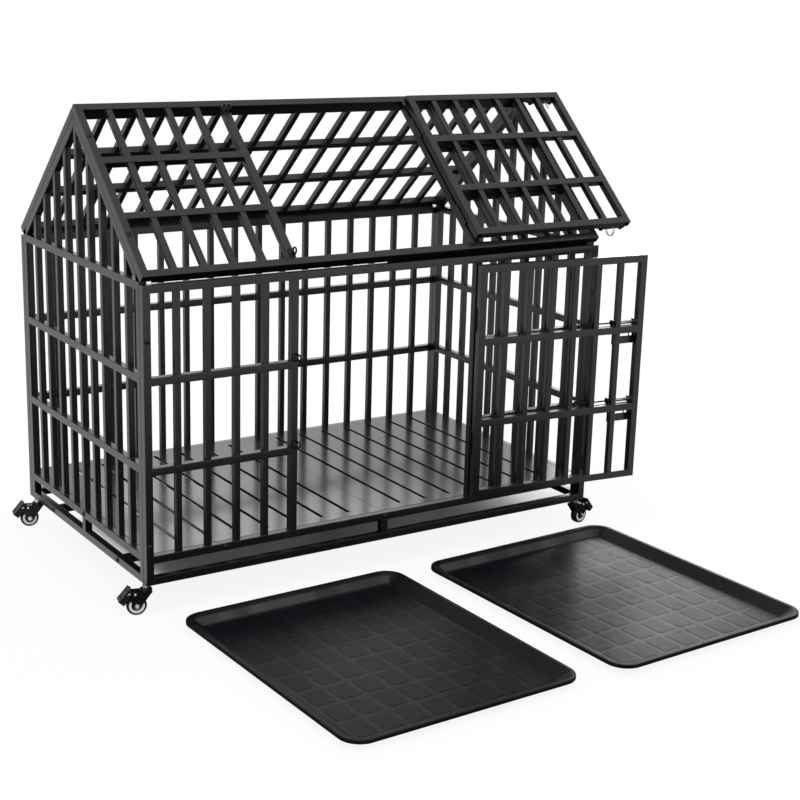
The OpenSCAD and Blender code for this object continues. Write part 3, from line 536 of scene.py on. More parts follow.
FINISHES = {
    "powder_coat": (powder_coat, "powder_coat"),
    "floor_sheet": (floor_sheet, "floor_sheet"),
    "black_fastener": (black_fastener, "black_fastener"),
    "zinc_steel": (zinc_steel, "zinc_steel"),
    "ring_wire": (ring_wire, "zinc_steel"),
    "rod_steel": (rod_steel, "zinc_steel"),
    "fork_black": (fork_black, "fork_black"),
    "tyre_rubber": (tyre_rubber, "tyre_rubber"),
    "hub_plastic": (hub_plastic, "hub_plastic"),
    "hub_dish": (hub_dish, "hub_plastic"),
    "pedal_plastic": (pedal_plastic, "pedal_plastic"),
    "tray_plastic": (tray_plastic, "tray_plastic"),
    "tray_pad": (tray_pad, "tray_plastic"),
}


def finish_named(name):
    """The material of that name, made at its first use."""
    material = bpy.data.materials.get(f"{name}_finish")
    if material is None:
        material = bpy.data.materials.new(f"{name}_finish")
        material.use_nodes = True
        FINISHES[name][0](Finish(material.node_tree))
    return material


class Bench:
    """One piece on the bench: shapes are added in their panel's axes, then the piece is set in place."""

    def __init__(self):
        self.bm = bmesh.new()
        self.edge = self.bm.faces.layers.float.new("edge")

    def block(self, lo, hi, at=None):
        """A block between two corners."""
        lo, hi = Vector(lo), Vector(hi)
        where = (at or Matrix()) @ Matrix.Translation((lo + hi) / 2) @ Matrix.Diagonal((*(hi - lo), 1))
        bmesh.ops.create_cube(self.bm, size=1, matrix=where)

    def upright(self, x, lo, hi, side, tube):
        """An upright of a given side, in the middle of the frame tube's thickness."""
        self.block((x - side / 2, lo, -(tube + side) / 2), (x + side / 2, hi, -(tube - side) / 2))

    def rail(self, v, lo, hi, tube):
        """A rail of frame tube."""
        self.block((lo, v - tube / 2, -tube), (hi, v + tube / 2, 0))

    def cut(self, point, normal):
        """Cuts away what lies on the normal's side of a plane and closes the cut."""
        geom = [*self.bm.verts, *self.bm.edges, *self.bm.faces]
        made = bmesh.ops.bisect_plane(
            self.bm, geom=geom, dist=SAME_SPOT, plane_co=point, plane_no=normal, clear_outer=True
        )
        edges = [g for g in made["geom_cut"] if isinstance(g, bmesh.types.BMEdge)]
        bmesh.ops.edgeloop_fill(self.bm, edges=edges)

    def join(self, other, at=None):
        """Adds a copy of what is on another bench."""
        mesh = bpy.data.meshes.new("joined")
        other.bm.to_mesh(mesh)
        mesh.transform(at or Matrix())
        self.bm.from_mesh(mesh)
        bpy.data.meshes.remove(mesh)
        self.edge = self.bm.faces.layers.float.get("edge")

    def node(self, name):
        """Adds a copy of a CAD node, with its faces joined up."""
        self.bm.from_mesh(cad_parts[name].data)
        bmesh.ops.remove_doubles(self.bm, verts=self.bm.verts, dist=2 * SAME_SPOT)
        bmesh.ops.dissolve_limit(
            self.bm, angle_limit=math.radians(1), use_dissolve_boundaries=False, verts=self.bm.verts,
            edges=self.bm.edges,
        )
        for face in self.bm.faces:
            face.material_index = 0
        self.edge = self.bm.faces.layers.float.get("edge")

    def soften(self, width, segments=2, angle=35.0):
        """Rounds every sharp edge."""
        limit = math.radians(angle)
        sharp = [e for e in self.bm.edges if len(e.link_faces) == 2 and e.calc_face_angle() > limit]
        made = bmesh.ops.bevel(
            self.bm, geom=sharp, offset=width, offset_type="OFFSET", segments=segments, profile=0.5,
            affect="EDGES", clamp_overlap=False, material=-1,
        )
        for face in made["faces"]:
            face[self.edge] = 1.0

    def hollow(self, direction, level, sizes):
        """Opens the tube ends that look in a direction and lie at a level along it."""
        direction = Vector(direction)
        least, most = TUBE_END
        hair = 10 * SAME_SPOT
        for face in [f for f in self.bm.faces if f.normal.dot(direction) > 0.999]:
            off = abs(face.calc_center_median().dot(direction) - level)
            if off < NEAR and least < face.calc_area() < most:
                bmesh.ops.inset_region(self.bm, faces=[face], thickness=sizes.open_wall, depth=0)
                bmesh.ops.inset_region(self.bm, faces=[face], thickness=hair, depth=-sizes.open_deep)

    def bead(self, centre, size):
        """A small weld bead."""
        at = Matrix.Translation(centre) @ Matrix.Diagonal((*size, 1))
        bmesh.ops.create_icosphere(self.bm, subdivisions=1, radius=1, matrix=at)

    def turned(self, profile, centre=(0, 0, 0), axis=(0, 0, 1), across=(1, 0, 0), steps=24, closed=False):
        """A profile of (along the axis, radius) points turned about the axis."""
        centre, axis, across = Vector(centre), Vector(axis), Vector(across)
        verts = [self.bm.verts.new(centre + axis * along + across * radius) for along, radius in profile]
        pairs = [*zip(verts, verts[1:]), *([(verts[-1], verts[0])] if closed else [])]
        edges = [self.bm.edges.new(pair) for pair in pairs]
        before = set(self.bm.verts) - set(verts)
        bmesh.ops.spin(
            self.bm, geom=[*verts, *edges], cent=centre, axis=axis, dvec=(0, 0, 0), angle=2 * math.pi,
            steps=steps, use_merge=True,
        )
        made = [v for v in self.bm.verts if v not in before]
        bmesh.ops.remove_doubles(self.bm, verts=made, dist=SAME_SPOT)

    def piece(self, name, body, finish, stands_for=(), at=None, sharp=40.0, outward=True):
        """Turns the bench's shapes into a finished object that rides on a body."""
        bmesh.ops.transform(self.bm, matrix=at or Matrix(), verts=self.bm.verts)
        if outward:
            bmesh.ops.recalc_face_normals(self.bm, faces=self.bm.faces)
        mesh = bpy.data.meshes.new(name)
        self.bm.to_mesh(mesh)
        self.bm.free()
        own = mesh.attributes.get("custom_normal")
        if own is not None:
            mesh.attributes.remove(own)
        mesh.shade_smooth()
        mesh.set_sharp_from_angle(angle=math.radians(sharp))
        mesh.materials.clear()
        mesh.materials.append(finish_named(finish))
        made = bpy.data.objects.new(name, mesh)
        bpy.context.scene.collection.objects.link(made)
        weights = made.modifiers.new("face weights", "WEIGHTED_NORMAL")
        weights.keep_sharp = True
        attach(made, body)
        if stands_for:
            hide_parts(*stands_for)
        return made


def dress_node(node, name, body, finish, edge=0.0, sharp=40.0):
    """A finished piece from one CAD node, with its sharp edges rounded."""
    bench = Bench()
    bench.node(node)
    if edge:
        bench.soften(edge)
    bench.piece(name, body, finish, [node], sharp=sharp)


class Grille:
    """Bars and rails welded into an opening, with the beads at their joints."""

    def __init__(self, seed):
        self.lay = Layout()
        self.bench = Bench()
        self.joints = []
        self.dice = random.Random(seed)

    def bars(self, x, lo, hi, clear, count, rails):
        """Evenly spaced bars between framing tubes, and the rails across them."""
        tube, bar = self.lay.tube, self.lay.bar
        pitch = (clear + tube) / (count + 1)
        levels = [lo, hi, *(r + s * tube / 2 for r in rails for s in (-1, 1))]
        for k in range(1, count + 1):
            middle = x + k * pitch - tube / 2
            self.bench.upright(middle, lo - LAP, hi + LAP, bar, tube)
            self.joints += [(middle + s * bar / 2, v) for v in levels for s in (-1, 1)]
        for r in rails:
            self.bench.rail(r, x - LAP, x + clear + LAP, tube)

    def side_bars(self, side, lo, hi, rails):
        """The fixed grille to the left or the right of the doorway or the hatch."""
        lay = self.lay
        start = lay.tube - lay.half_l if side == "left" else lay.jamb + lay.tube / 2
        self.bars(start, lo, hi, lay.section, lay.sizes.side_bars, rails)
        self.weld()

    def full_bars(self, lo, hi, rails):
        """The grille that fills the back wall or the back of the roof."""
        clear = 2 * (self.lay.half_l - self.lay.tube)
        self.bars(-clear / 2, lo, hi, clear, self.lay.sizes.back_bars, rails)
        self.weld()

    def weld(self):
        """Rounds the tubes and lays the beads."""
        size, run, tube = self.lay.sizes.bead, self.lay.sizes.bead_run, self.lay.tube
        self.bench.soften(self.lay.sizes.corner)
        for x, v in self.joints:
            grow = self.dice.uniform(*BEAD_GROWTH)
            shift = self.dice.uniform(-BEAD_SHIFT, BEAD_SHIFT)
            self.bench.bead((x, v, -tube / 2 + shift), (size * grow, size * grow, run * grow))


def wall_outline(grille, jambs):
    """Corner uprights and rails of a long wall, the post in the tray slot and any door jambs."""
    lay, bench = grille.lay, grille.bench
    tube, inner = lay.tube, lay.half_l - lay.tube
    for side in (-1, 1):
        bench.upright(side * (lay.half_l - tube / 2), 0, lay.long_wall, tube, tube)
    for v in (tube / 2, lay.floor + tube / 2, lay.long_wall - tube / 2):
        bench.rail(v, -inner - LAP, inner + LAP, tube)
    bench.upright(0, tube - LAP, lay.floor + LAP, tube, tube)
    for side in (-1, 1) if jambs else ():
        bench.upright(side * lay.jamb, lay.deck - LAP, lay.long_wall - tube + LAP, tube, tube)


def end_wall(grille):
    """Posts, rails, gable rafters and bars that run up into the gable."""
    lay, bench = grille.lay, grille.bench
    tube, bar, y = lay.tube, lay.bar, lay.half_w - lay.tube
    clear, ridge = 2 * (y - tube), lay.gable(0)
    lean = Vector((math.sin(lay.pitch), math.cos(lay.pitch), 0))
    uprights = Bench()
    for side in (-1, 1):
        uprights.upright(side * (y - tube / 2), 0, ridge, tube, tube)
    count = lay.sizes.end_bars
    pitch = (clear + tube) / (count + 1)
    levels = [lay.deck, lay.wall - tube, lay.wall]
    levels += [r + s * tube / 2 for r in lay.wall_rails for s in (-1, 1)]
    for k in range(1, count + 1):
        middle = k * pitch - tube / 2 - clear / 2
        uprights.upright(middle, lay.deck - LAP, ridge, bar, tube)
        grille.joints += [(middle + s * bar / 2, v) for v in levels for s in (-1, 1)]
    for side in (-1, 1):
        uprights.cut((0, ridge - LAP / 2, 0), (side * lean.x, lean.y, 0))
    bench.join(uprights)
    for side in (-1, 1):
        rafter = Bench()
        turn = Matrix.Translation((0, ridge, 0)) @ Matrix.Rotation(-side * lay.pitch, 4, "Z")
        reach = sorted((-side * 1.5 * tube, side * lay.slope))
        rafter.block((reach[0], -tube, -tube), (reach[1], 0, 0), turn)
        rafter.cut((0, 0, 0), (-side, 0, 0))
        rafter.cut((0, lay.wall - LAP, 0), (0, -1, 0))
        rafter.cut((side * y, 0, 0), (side, 0, 0))
        bench.join(rafter)
    for v in (tube / 2, lay.floor + tube / 2, *lay.wall_rails, lay.wall - tube / 2):
        bench.rail(v, -clear / 2 - LAP, clear / 2 + LAP, tube)
    bench.upright(0, tube - LAP, lay.floor + LAP, tube, tube)


class CRATE_OT_walls(bpy.types.Operator):
    """Front wall with its two fixed grilles, back wall and the two gabled end walls"""

    bl_idname = "crate.walls"
    bl_label = "Walls"

    def execute(self, context):
        front = Grille(1)
        lay = front.lay
        top = lay.long_wall - lay.tube
        wall_outline(front, True)
        front.weld()
        front.bench.piece("front_wall_frame", "crate", "powder_coat", ["front_frame"], lay.front)
        for name, seed in (("left", 2), ("right", 3)):
            side = Grille(seed)
            side.side_bars(name, lay.deck, top, lay.long_rails)
            node = f"front_grille_{name}"
            side.bench.piece(f"front_wall_grille_{name}", "crate", "powder_coat", [node], lay.front)
        back = Grille(4)
        wall_outline(back, False)
        back.full_bars(lay.deck, top, lay.long_rails)
        back.bench.piece("back_wall", "crate", "powder_coat", ["back_panel"], lay.back)
        for name, seed in (("left", 5), ("right", 6)):
            end = Grille(seed)
            end_wall(end)
            end.weld()
            place = lay.left if name == "left" else lay.right
            end.bench.piece(f"{name}_end_wall", "crate", "powder_coat", [f"{name}_end_panel"], place)
        return {"FINISHED"}


class CRATE_OT_roof(bpy.types.Operator):
    """Front roof frame with its two fixed grilles, the back roof panel and the strips under the eaves"""

    bl_idname = "crate.roof"
    bl_label = "Roof"

    strips: FloatVectorProperty(
        name="Strips", description="Depth of the strips under the eaves, left and right", size=2,
        default=(0.0064, 0.0088), unit="LENGTH",
    )
    strip_edges: FloatVectorProperty(
        name="Strip edges", description="Where a strip starts and ends up the slope", size=2,
        default=(0.0004, 0.0034), unit="LENGTH",
    )

    def border(self, grille, slope, jambs):
        """Uprights and rails round one side of the roof, and any jambs beside the hatch."""
        lay, bench = grille.lay, grille.bench
        tube, inner = lay.tube, lay.half_l - lay.tube
        for side in (-1, 1):
            bench.upright(side * (lay.half_l - tube / 2), 0, slope, tube, tube)
        for v in (tube / 2, slope - tube / 2):
            bench.rail(v, -inner - LAP, inner + LAP, tube)
        for side in (-1, 1) if jambs else ():
            bench.upright(side * lay.jamb, tube - LAP, slope - tube + LAP, tube, tube)

    def strip(self, grille, lo, hi, deep):
        """A strip that closes the gap between the eave rail and the wall."""
        low, high = self.strip_edges
        flat = Bench()
        flat.block((lo, low, -grille.lay.tube - deep), (hi, high, LAP - grille.lay.tube))
        flat.soften(PIN_EDGE)
        grille.bench.join(flat)
        flat.bm.free()

    def execute(self, context):
        front = Grille(11)
        lay = front.lay
        self.border(front, lay.slope, True)
        front.weld()
        reach = lay.half_l - 1.5 * lay.tube
        self.strip(front, -reach, 0, self.strips[0])
        self.strip(front, 0, reach, self.strips[1])
        front.bench.hollow((0, -1, 0), 0, lay.sizes)
        front.bench.piece("roof_front_border", "crate", "powder_coat", ["roof_front_frame"], lay.roof_front)
        for name, seed in (("left", 12), ("right", 13)):
            side = Grille(seed)
            side.side_bars(name, lay.tube, lay.slope - lay.tube, lay.roof_rails)
            node = f"roof_front_grille_{name}"
            side.bench.piece(f"roof_grille_{name}", "crate", "powder_coat", [node], lay.roof_front)
        back = Grille(14)
        self.border(back, lay.slope_back, False)
        back.full_bars(lay.tube, lay.slope_back - lay.tube, lay.roof_back_rails)
        self.strip(back, -reach, reach, self.strips[1])
        back.bench.hollow((0, -1, 0), 0, lay.sizes)
        back.bench.piece("roof_back_grille", "crate", "powder_coat", ["roof_back_panel"], lay.roof_back)
        return {"FINISHED"}


class CRATE_OT_floor(bpy.types.Operator):
    """Slotted floor sheets, the bearers under them and the tray beams"""

    bl_idname = "crate.floor"
    bl_label = "Floor"

    vents: IntProperty(name="Slots", description="Slots in each sheet", default=7, min=1)
    ends: FloatProperty(name="Ends", description="Slot pitches left at a sheet's two ends", default=1.2)
    vent: metres("Slot width", "Width of a slot", 0.010)
    margin: metres("Margin", "Solid strip before and behind the slots", 0.030)
    turned: metres("Turned edge", "Depth of the slots' turned edges", 0.006)
    skin: metres("Skin", "Thickness of a turned edge", 0.001)

    def turned_edges(self, sheet, lo, hi, middle):
        """Edges turned down along both sides of a slot."""
        for side in (-1, 1):
            near, far = sorted(middle + side * (self.vent / 2 + out) for out in (0, self.skin))
            low = (near, lo.y + self.margin, lo.z - self.turned)
            sheet.block(low, (far, hi.y - self.margin, hi.z - self.skin))

    def execute(self, context):
        lay = Layout()
        pitch = (lay.half_l - lay.tube) / (self.vents + self.ends)
        for side, way in (("left", -1), ("right", 1)):
            sheet = Bench()
            sheet.node(f"floor_panel_{side}")
            lo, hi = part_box(f"floor_panel_{side}")
            for k in range(1, self.vents + 1):
                self.turned_edges(sheet, lo, hi, way * k * pitch)
            sheet.soften(PRESSED_EDGE)
            sheet.piece(f"floor_sheet_{side}", "crate", "floor_sheet", [f"floor_panel_{side}"])
        for name, node in (("bearers", "floor_bearers"), ("tray_rails", "tray_beams")):
            dress_node(node, f"floor_{name}", "crate", "powder_coat", lay.sizes.corner)
        return {"FINISHED"}


def leaf(grille, span, rails, open_ends):
    """Framed grille of the door or the hatch between two heights."""
    lay, bench = grille.lay, grille.bench
    tube, inner = lay.tube, lay.leaf / 2 - lay.tube
    lo, hi = span
    for side in (-1, 1):
        bench.upright(side * (inner + tube / 2), lo, hi, tube, tube)
    for v in (lo + tube / 2, hi - tube / 2):
        bench.rail(v, -inner - LAP, inner + LAP, tube)
    grille.bars(-inner, lo + tube, hi - tube, 2 * inner, lay.sizes.leaf_bars, rails)
    grille.weld()
    if open_ends:
        bench.hollow((0, -1, 0), -lo, lay.sizes)
        bench.hollow((0, 1, 0), hi, lay.sizes)


class CRATE_OT_door(bpy.types.Operator):
    """Door leaf and its two lock plates"""

    bl_idname = "crate.door"
    bl_label = "Door"

    def execute(self, context):
        door = Grille(21)
        lay = door.lay
        leaf(door, lay.door_v, lay.wall_rails, False)
        door.bench.piece("door_grille", "door_leaf", "powder_coat", ["door"], lay.door)
        dress_node("door_lock_plates", "lock_plates", "door_leaf", "powder_coat", PLATE_EDGE)
        return {"FINISHED"}


class CRATE_OT_hatch(bpy.types.Operator):
    """Roof hatch leaf, open at its tube ends, with its lock plate and the ring that hangs from it"""

    bl_idname = "crate.hatch"
    bl_label = "Hatch"

    lock_in: metres("Lock", "Inner edge of the leaf to the lock plate's middle", 0.035)
    lock_wide: metres("Lock width", "Width of the plate", 0.026)
    lock_drop: metres("Lock drop", "How far the plate hangs below the rail", 0.014)
    lock_thick: metres("Lock plate", "Thickness of the plate", 0.003)
    lock_back: metres("Lock back", "Face of the leaf to the back of the plate", 0.012)
    ring: metres("Ring", "Radius of the ring", 0.0105)
    ring_drop: metres("Ring drop", "Foot of the plate to the middle of the ring", 0.009)
    wire: metres("Wire", "Radius of the ring's wire", 0.0011)
    ring_axis: FloatVectorProperty(
        name="Ring axis", description="Axis of the ring", default=(0.6, 0, 0.8), subtype="DIRECTION"
    )

    def execute(self, context):
        hatch = Grille(31)
        lay = hatch.lay
        leaf(hatch, lay.hatch_v, lay.roof_rails, True)
        hatch.bench.piece("hatch_grille", "hatch_leaf", "powder_coat", ["hatch"], lay.hatch)
        middle = lay.tube - lay.leaf / 2 + self.lock_in
        top, half = lay.hatch_v[1] - lay.tube, self.lock_wide / 2
        low, face = top - self.lock_drop, self.lock_thick - self.lock_back
        plate = Bench()
        plate.block((middle - half, low, -self.lock_back), (middle + half, top + LAP, face))
        plate.soften(EAR_EDGE)
        plate.piece("hatch_lock_plate", "hatch_leaf", "black_fastener", (), lay.hatch)
        ring = Bench()
        angles = [k * math.pi / 4 for k in range(8)]
        section = [(self.wire * math.cos(a), self.ring + self.wire * math.sin(a)) for a in angles]
        centre = (middle, low - self.ring_drop, face - self.lock_thick / 2)
        ring.turned(section, centre, self.ring_axis, (0, 1, 0), steps=28, closed=True)
        ring.piece("hatch_lock_ring", "hatch_leaf", "ring_wire", (), lay.hatch)
        return {"FINISHED"}


class CRATE_OT_hinges(bpy.types.Operator):
    """Hinge leaves, barrels and pins of the door and the hatch"""

    bl_idname = "crate.hinges"
    bl_label = "Hinges"

    def execute(self, context):
        for name, body in (("door", "door_leaf"), ("hatch", "hatch_leaf")):
            for kind, node, rides in (
                ("fixed_leaves", f"{name}_hinge_leaves", "crate"),
                ("swinging_leaves", f"{name}_hinge_knuckles", body),
            ):
                dress_node(node, f"{name}_hinge_{kind}", rides, "black_fastener", PLATE_EDGE)
        dress_node("hinge_pins", "hinge_pin_set", "crate", "zinc_steel", PIN_EDGE)
        return {"FINISHED"}


class CRATE_OT_latches(bpy.types.Operator):
    """Catches, guide ears, slide bolts and the rings on the hatch bolts"""

    bl_idname = "crate.latches"
    bl_label = "Latches"

    tail: metres("Tail", "Where the bright rods of the door end, along the leaf", -0.180)

    def execute(self, context):
        for name, body in (("door", "door_leaf"), ("hatch", "hatch_leaf")):
            for kind, node, rides in (
                ("catch_ears", f"{name}_catches", "crate"),
                ("guide_ears", f"{name}_bolt_guides", body),
            ):
                dress_node(node, f"{name}_{kind}", rides, "black_fastener", EAR_EDGE)
        lay = Layout()
        end, along = lay.door @ Vector((self.tail, 0, 0)), lay.door.to_3x3() @ Vector((1, 0, 0))
        for level in ("upper", "lower"):
            for part, way, finish in (("rod", along, "rod_steel"), ("tail", -along, "black_fastener")):
                half = Bench()
                half.node(f"door_bolt_{level}")
                half.cut(end, way)
                half.piece(f"{level}_door_{part}", f"{level}_door_bolt", finish, [f"door_bolt_{level}"])
            bolt = f"{level}_hatch_bolt"
            dress_node(f"hatch_bolt_{level}", f"{level}_hatch_rod", bolt, "black_fastener")
            dress_node(f"hatch_rings_{level}", f"{level}_split_rings", bolt, "ring_wire", sharp=80)
        return {"FINISHED"}


class CRATE_OT_fasteners(bpy.types.Operator):
    """Domed socket bolts on washers, where the panels are joined"""

    bl_idname = "crate.fasteners"
    bl_label = "Fasteners"

    bearer: metres("Bearers", "Middle of the crate to an outer bearer", 0.471)
    beam: metres("Beams", "Middle of an end to a tray beam", 0.218)
    wall_bolts: FloatVectorProperty(
        name="Wall bolts", description="Heights of the bolts in the corner uprights", size=2,
        default=(0.100, 0.611), unit="LENGTH",
    )
    roof_bolts: FloatVectorProperty(
        name="Roof bolts", description="Places of the bolts up the slope of the roof", size=2,
        default=(0.127, 0.434), unit="LENGTH",
    )

    def execute(self, context):
        lay = Layout()
        corner, floor = lay.half_l - lay.tube / 2, lay.deck - lay.tube / 2
        walls, roofs, ends = (lay.front, lay.back), (lay.roof_front, lay.roof_back), (lay.left, lay.right)
        spots = [(lay.front, x, floor) for x in (-self.bearer, 0, self.bearer)]
        spots += [(p, s * corner, v) for p in walls for s in (-1, 1) for v in self.wall_bolts]
        spots += [(p, s * corner, v) for p in roofs for s in (-1, 1) for v in self.roof_bolts]
        spots += [(p, s * self.beam, lay.tube / 2) for p in ends for s in (-1, 1)]
        spots += [(p, 0, floor) for p in ends]
        socket = [(0.0011, 0), (0.0011, 0.0022), (0.0033, 0.0024)]
        dome = [(0.0031, 0.0036), (0.0022, 0.0054), (0.0011, 0.0062)]
        washer = [(0.0009, 0.0062), (0.0009, 0.0078), (-0.0004, 0.0080)]
        one = Bench()
        one.turned([*socket, *dome, *washer], steps=20)
        heads = Bench()
        for panel, x, v in spots:
            heads.join(one, panel @ Matrix.Translation((x, v, 0)))
        one.bm.free()
        heads.piece("panel_bolt_heads", "crate", "black_fastener", ["panel_bolts"], sharp=32)
        return {"FINISHED"}


class CRATE_OT_trays(bpy.types.Operator):
    """Two shallow trays with a turned-down lip, leaning walls and a floor of raised pads"""

    bl_idname = "crate.trays"
    bl_label = "Trays"

    def rounded(self, bench, length, depth, corner, level, segments):
        """A flat rounded rectangle that faces up."""
        at = Matrix.Translation((0, 0, level)) @ Matrix.Diagonal((length, depth, 1, 1))
        bmesh.ops.create_grid(bench.bm, x_segments=1, y_segments=1, size=0.5, matrix=at)
        bmesh.ops.bevel(
            bench.bm, geom=list(bench.bm.verts), offset=corner, offset_type="OFFSET", segments=segments,
            profile=0.5, affect="VERTICES", material=-1,
        )
        bench.bm.faces.ensure_lookup_table()
        face = bench.bm.faces[0]
        if face.normal.z < 0:
            face.normal_flip()
        return face

    def fillet(self, bench, edges, width):
        """Rounds those of the edges that are still there."""
        bmesh.ops.bevel(
            bench.bm, geom=[e for e in edges if e.is_valid], offset=width, offset_type="OFFSET", segments=3,
            profile=0.5, affect="EDGES", clamp_overlap=False, material=-1,
        )

    def shell(self, t, side, place):
        """The moulded tray: skirt, lip, leaning walls and floor."""
        shell = Bench()
        face = self.rounded(shell, t.length, t.depth, t.corner, t.height, 12)
        rim = list(face.edges)
        skirt = bmesh.ops.extrude_edge_only(shell.bm, edges=rim)["geom"]
        down = [g for g in skirt if isinstance(g, bmesh.types.BMVert)]
        bmesh.ops.translate(shell.bm, verts=down, vec=(0, 0, -t.skirt))
        bmesh.ops.inset_region(shell.bm, faces=[face], thickness=t.lip, depth=0)
        inner = list(face.edges)
        bmesh.ops.inset_region(shell.bm, faces=[face], thickness=t.draft + t.thick, depth=t.thick - t.height)
        foot = list(face.edges)
        for edges, width in ((foot, t.foot_round), (inner, t.lip_round), (rim, t.rim_round)):
            self.fillet(shell, edges, width)
        body, node = f"{side}_tray", f"tray_{side}"
        made = shell.piece(f"{side}_tray_shell", body, "tray_plastic", [node], place, 60)
        wall = made.modifiers.new("wall", "SOLIDIFY")
        wall.thickness = t.thick
        wall.offset = -1

    def pads(self, t, side, place):
        """Rows of low pads on the tray's floor."""
        pitch = [(size - 2 * (t.lip + t.draft + t.thick)) / t.pads for size in (t.length, t.depth)]
        pad = Bench()
        top = self.rounded(pad, pitch[0] - t.pad_gap, pitch[1] - t.pad_gap, t.pad_corner, t.thick, 3)
        # Shares of the edge's width and rise, from its foot up.
        for run, rise in ((0.3, 0.3), (0.4, 0.6), (0.3, 0.1)):
            bmesh.ops.inset_region(pad.bm, faces=[top], thickness=run * t.pad_edge, depth=rise * t.pad_rise)
        pads = Bench()
        for i in range(t.pads):
            for j in range(t.pads):
                middle = [(k - (t.pads - 1) / 2) * p for k, p in zip((i, j), pitch)]
                pads.join(pad, Matrix.Translation((*middle, t.pad_lift)))
        pad.bm.free()
        pads.piece(f"{side}_tray_pads", f"{side}_tray", "tray_pad", (), place, 60, outward=False)

    def execute(self, context):
        t = context.scene.tray_sizes
        for side, turn in zip(("left", "right"), t.turns):
            lo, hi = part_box(f"tray_{side}")
            middle = ((lo.x + hi.x) / 2, (lo.y + hi.y) / 2, 0)
            place = Matrix.Translation(middle) @ Matrix.Rotation(turn, 4, "Z")
            self.shell(t, side, place)
            self.pads(t, side, place)
        return {"FINISHED"}


def both_sides(half):
    """Half a profile and its mirror image, as one outline."""
    return [*half, *((-along, radius) for along, radius in reversed(half))]


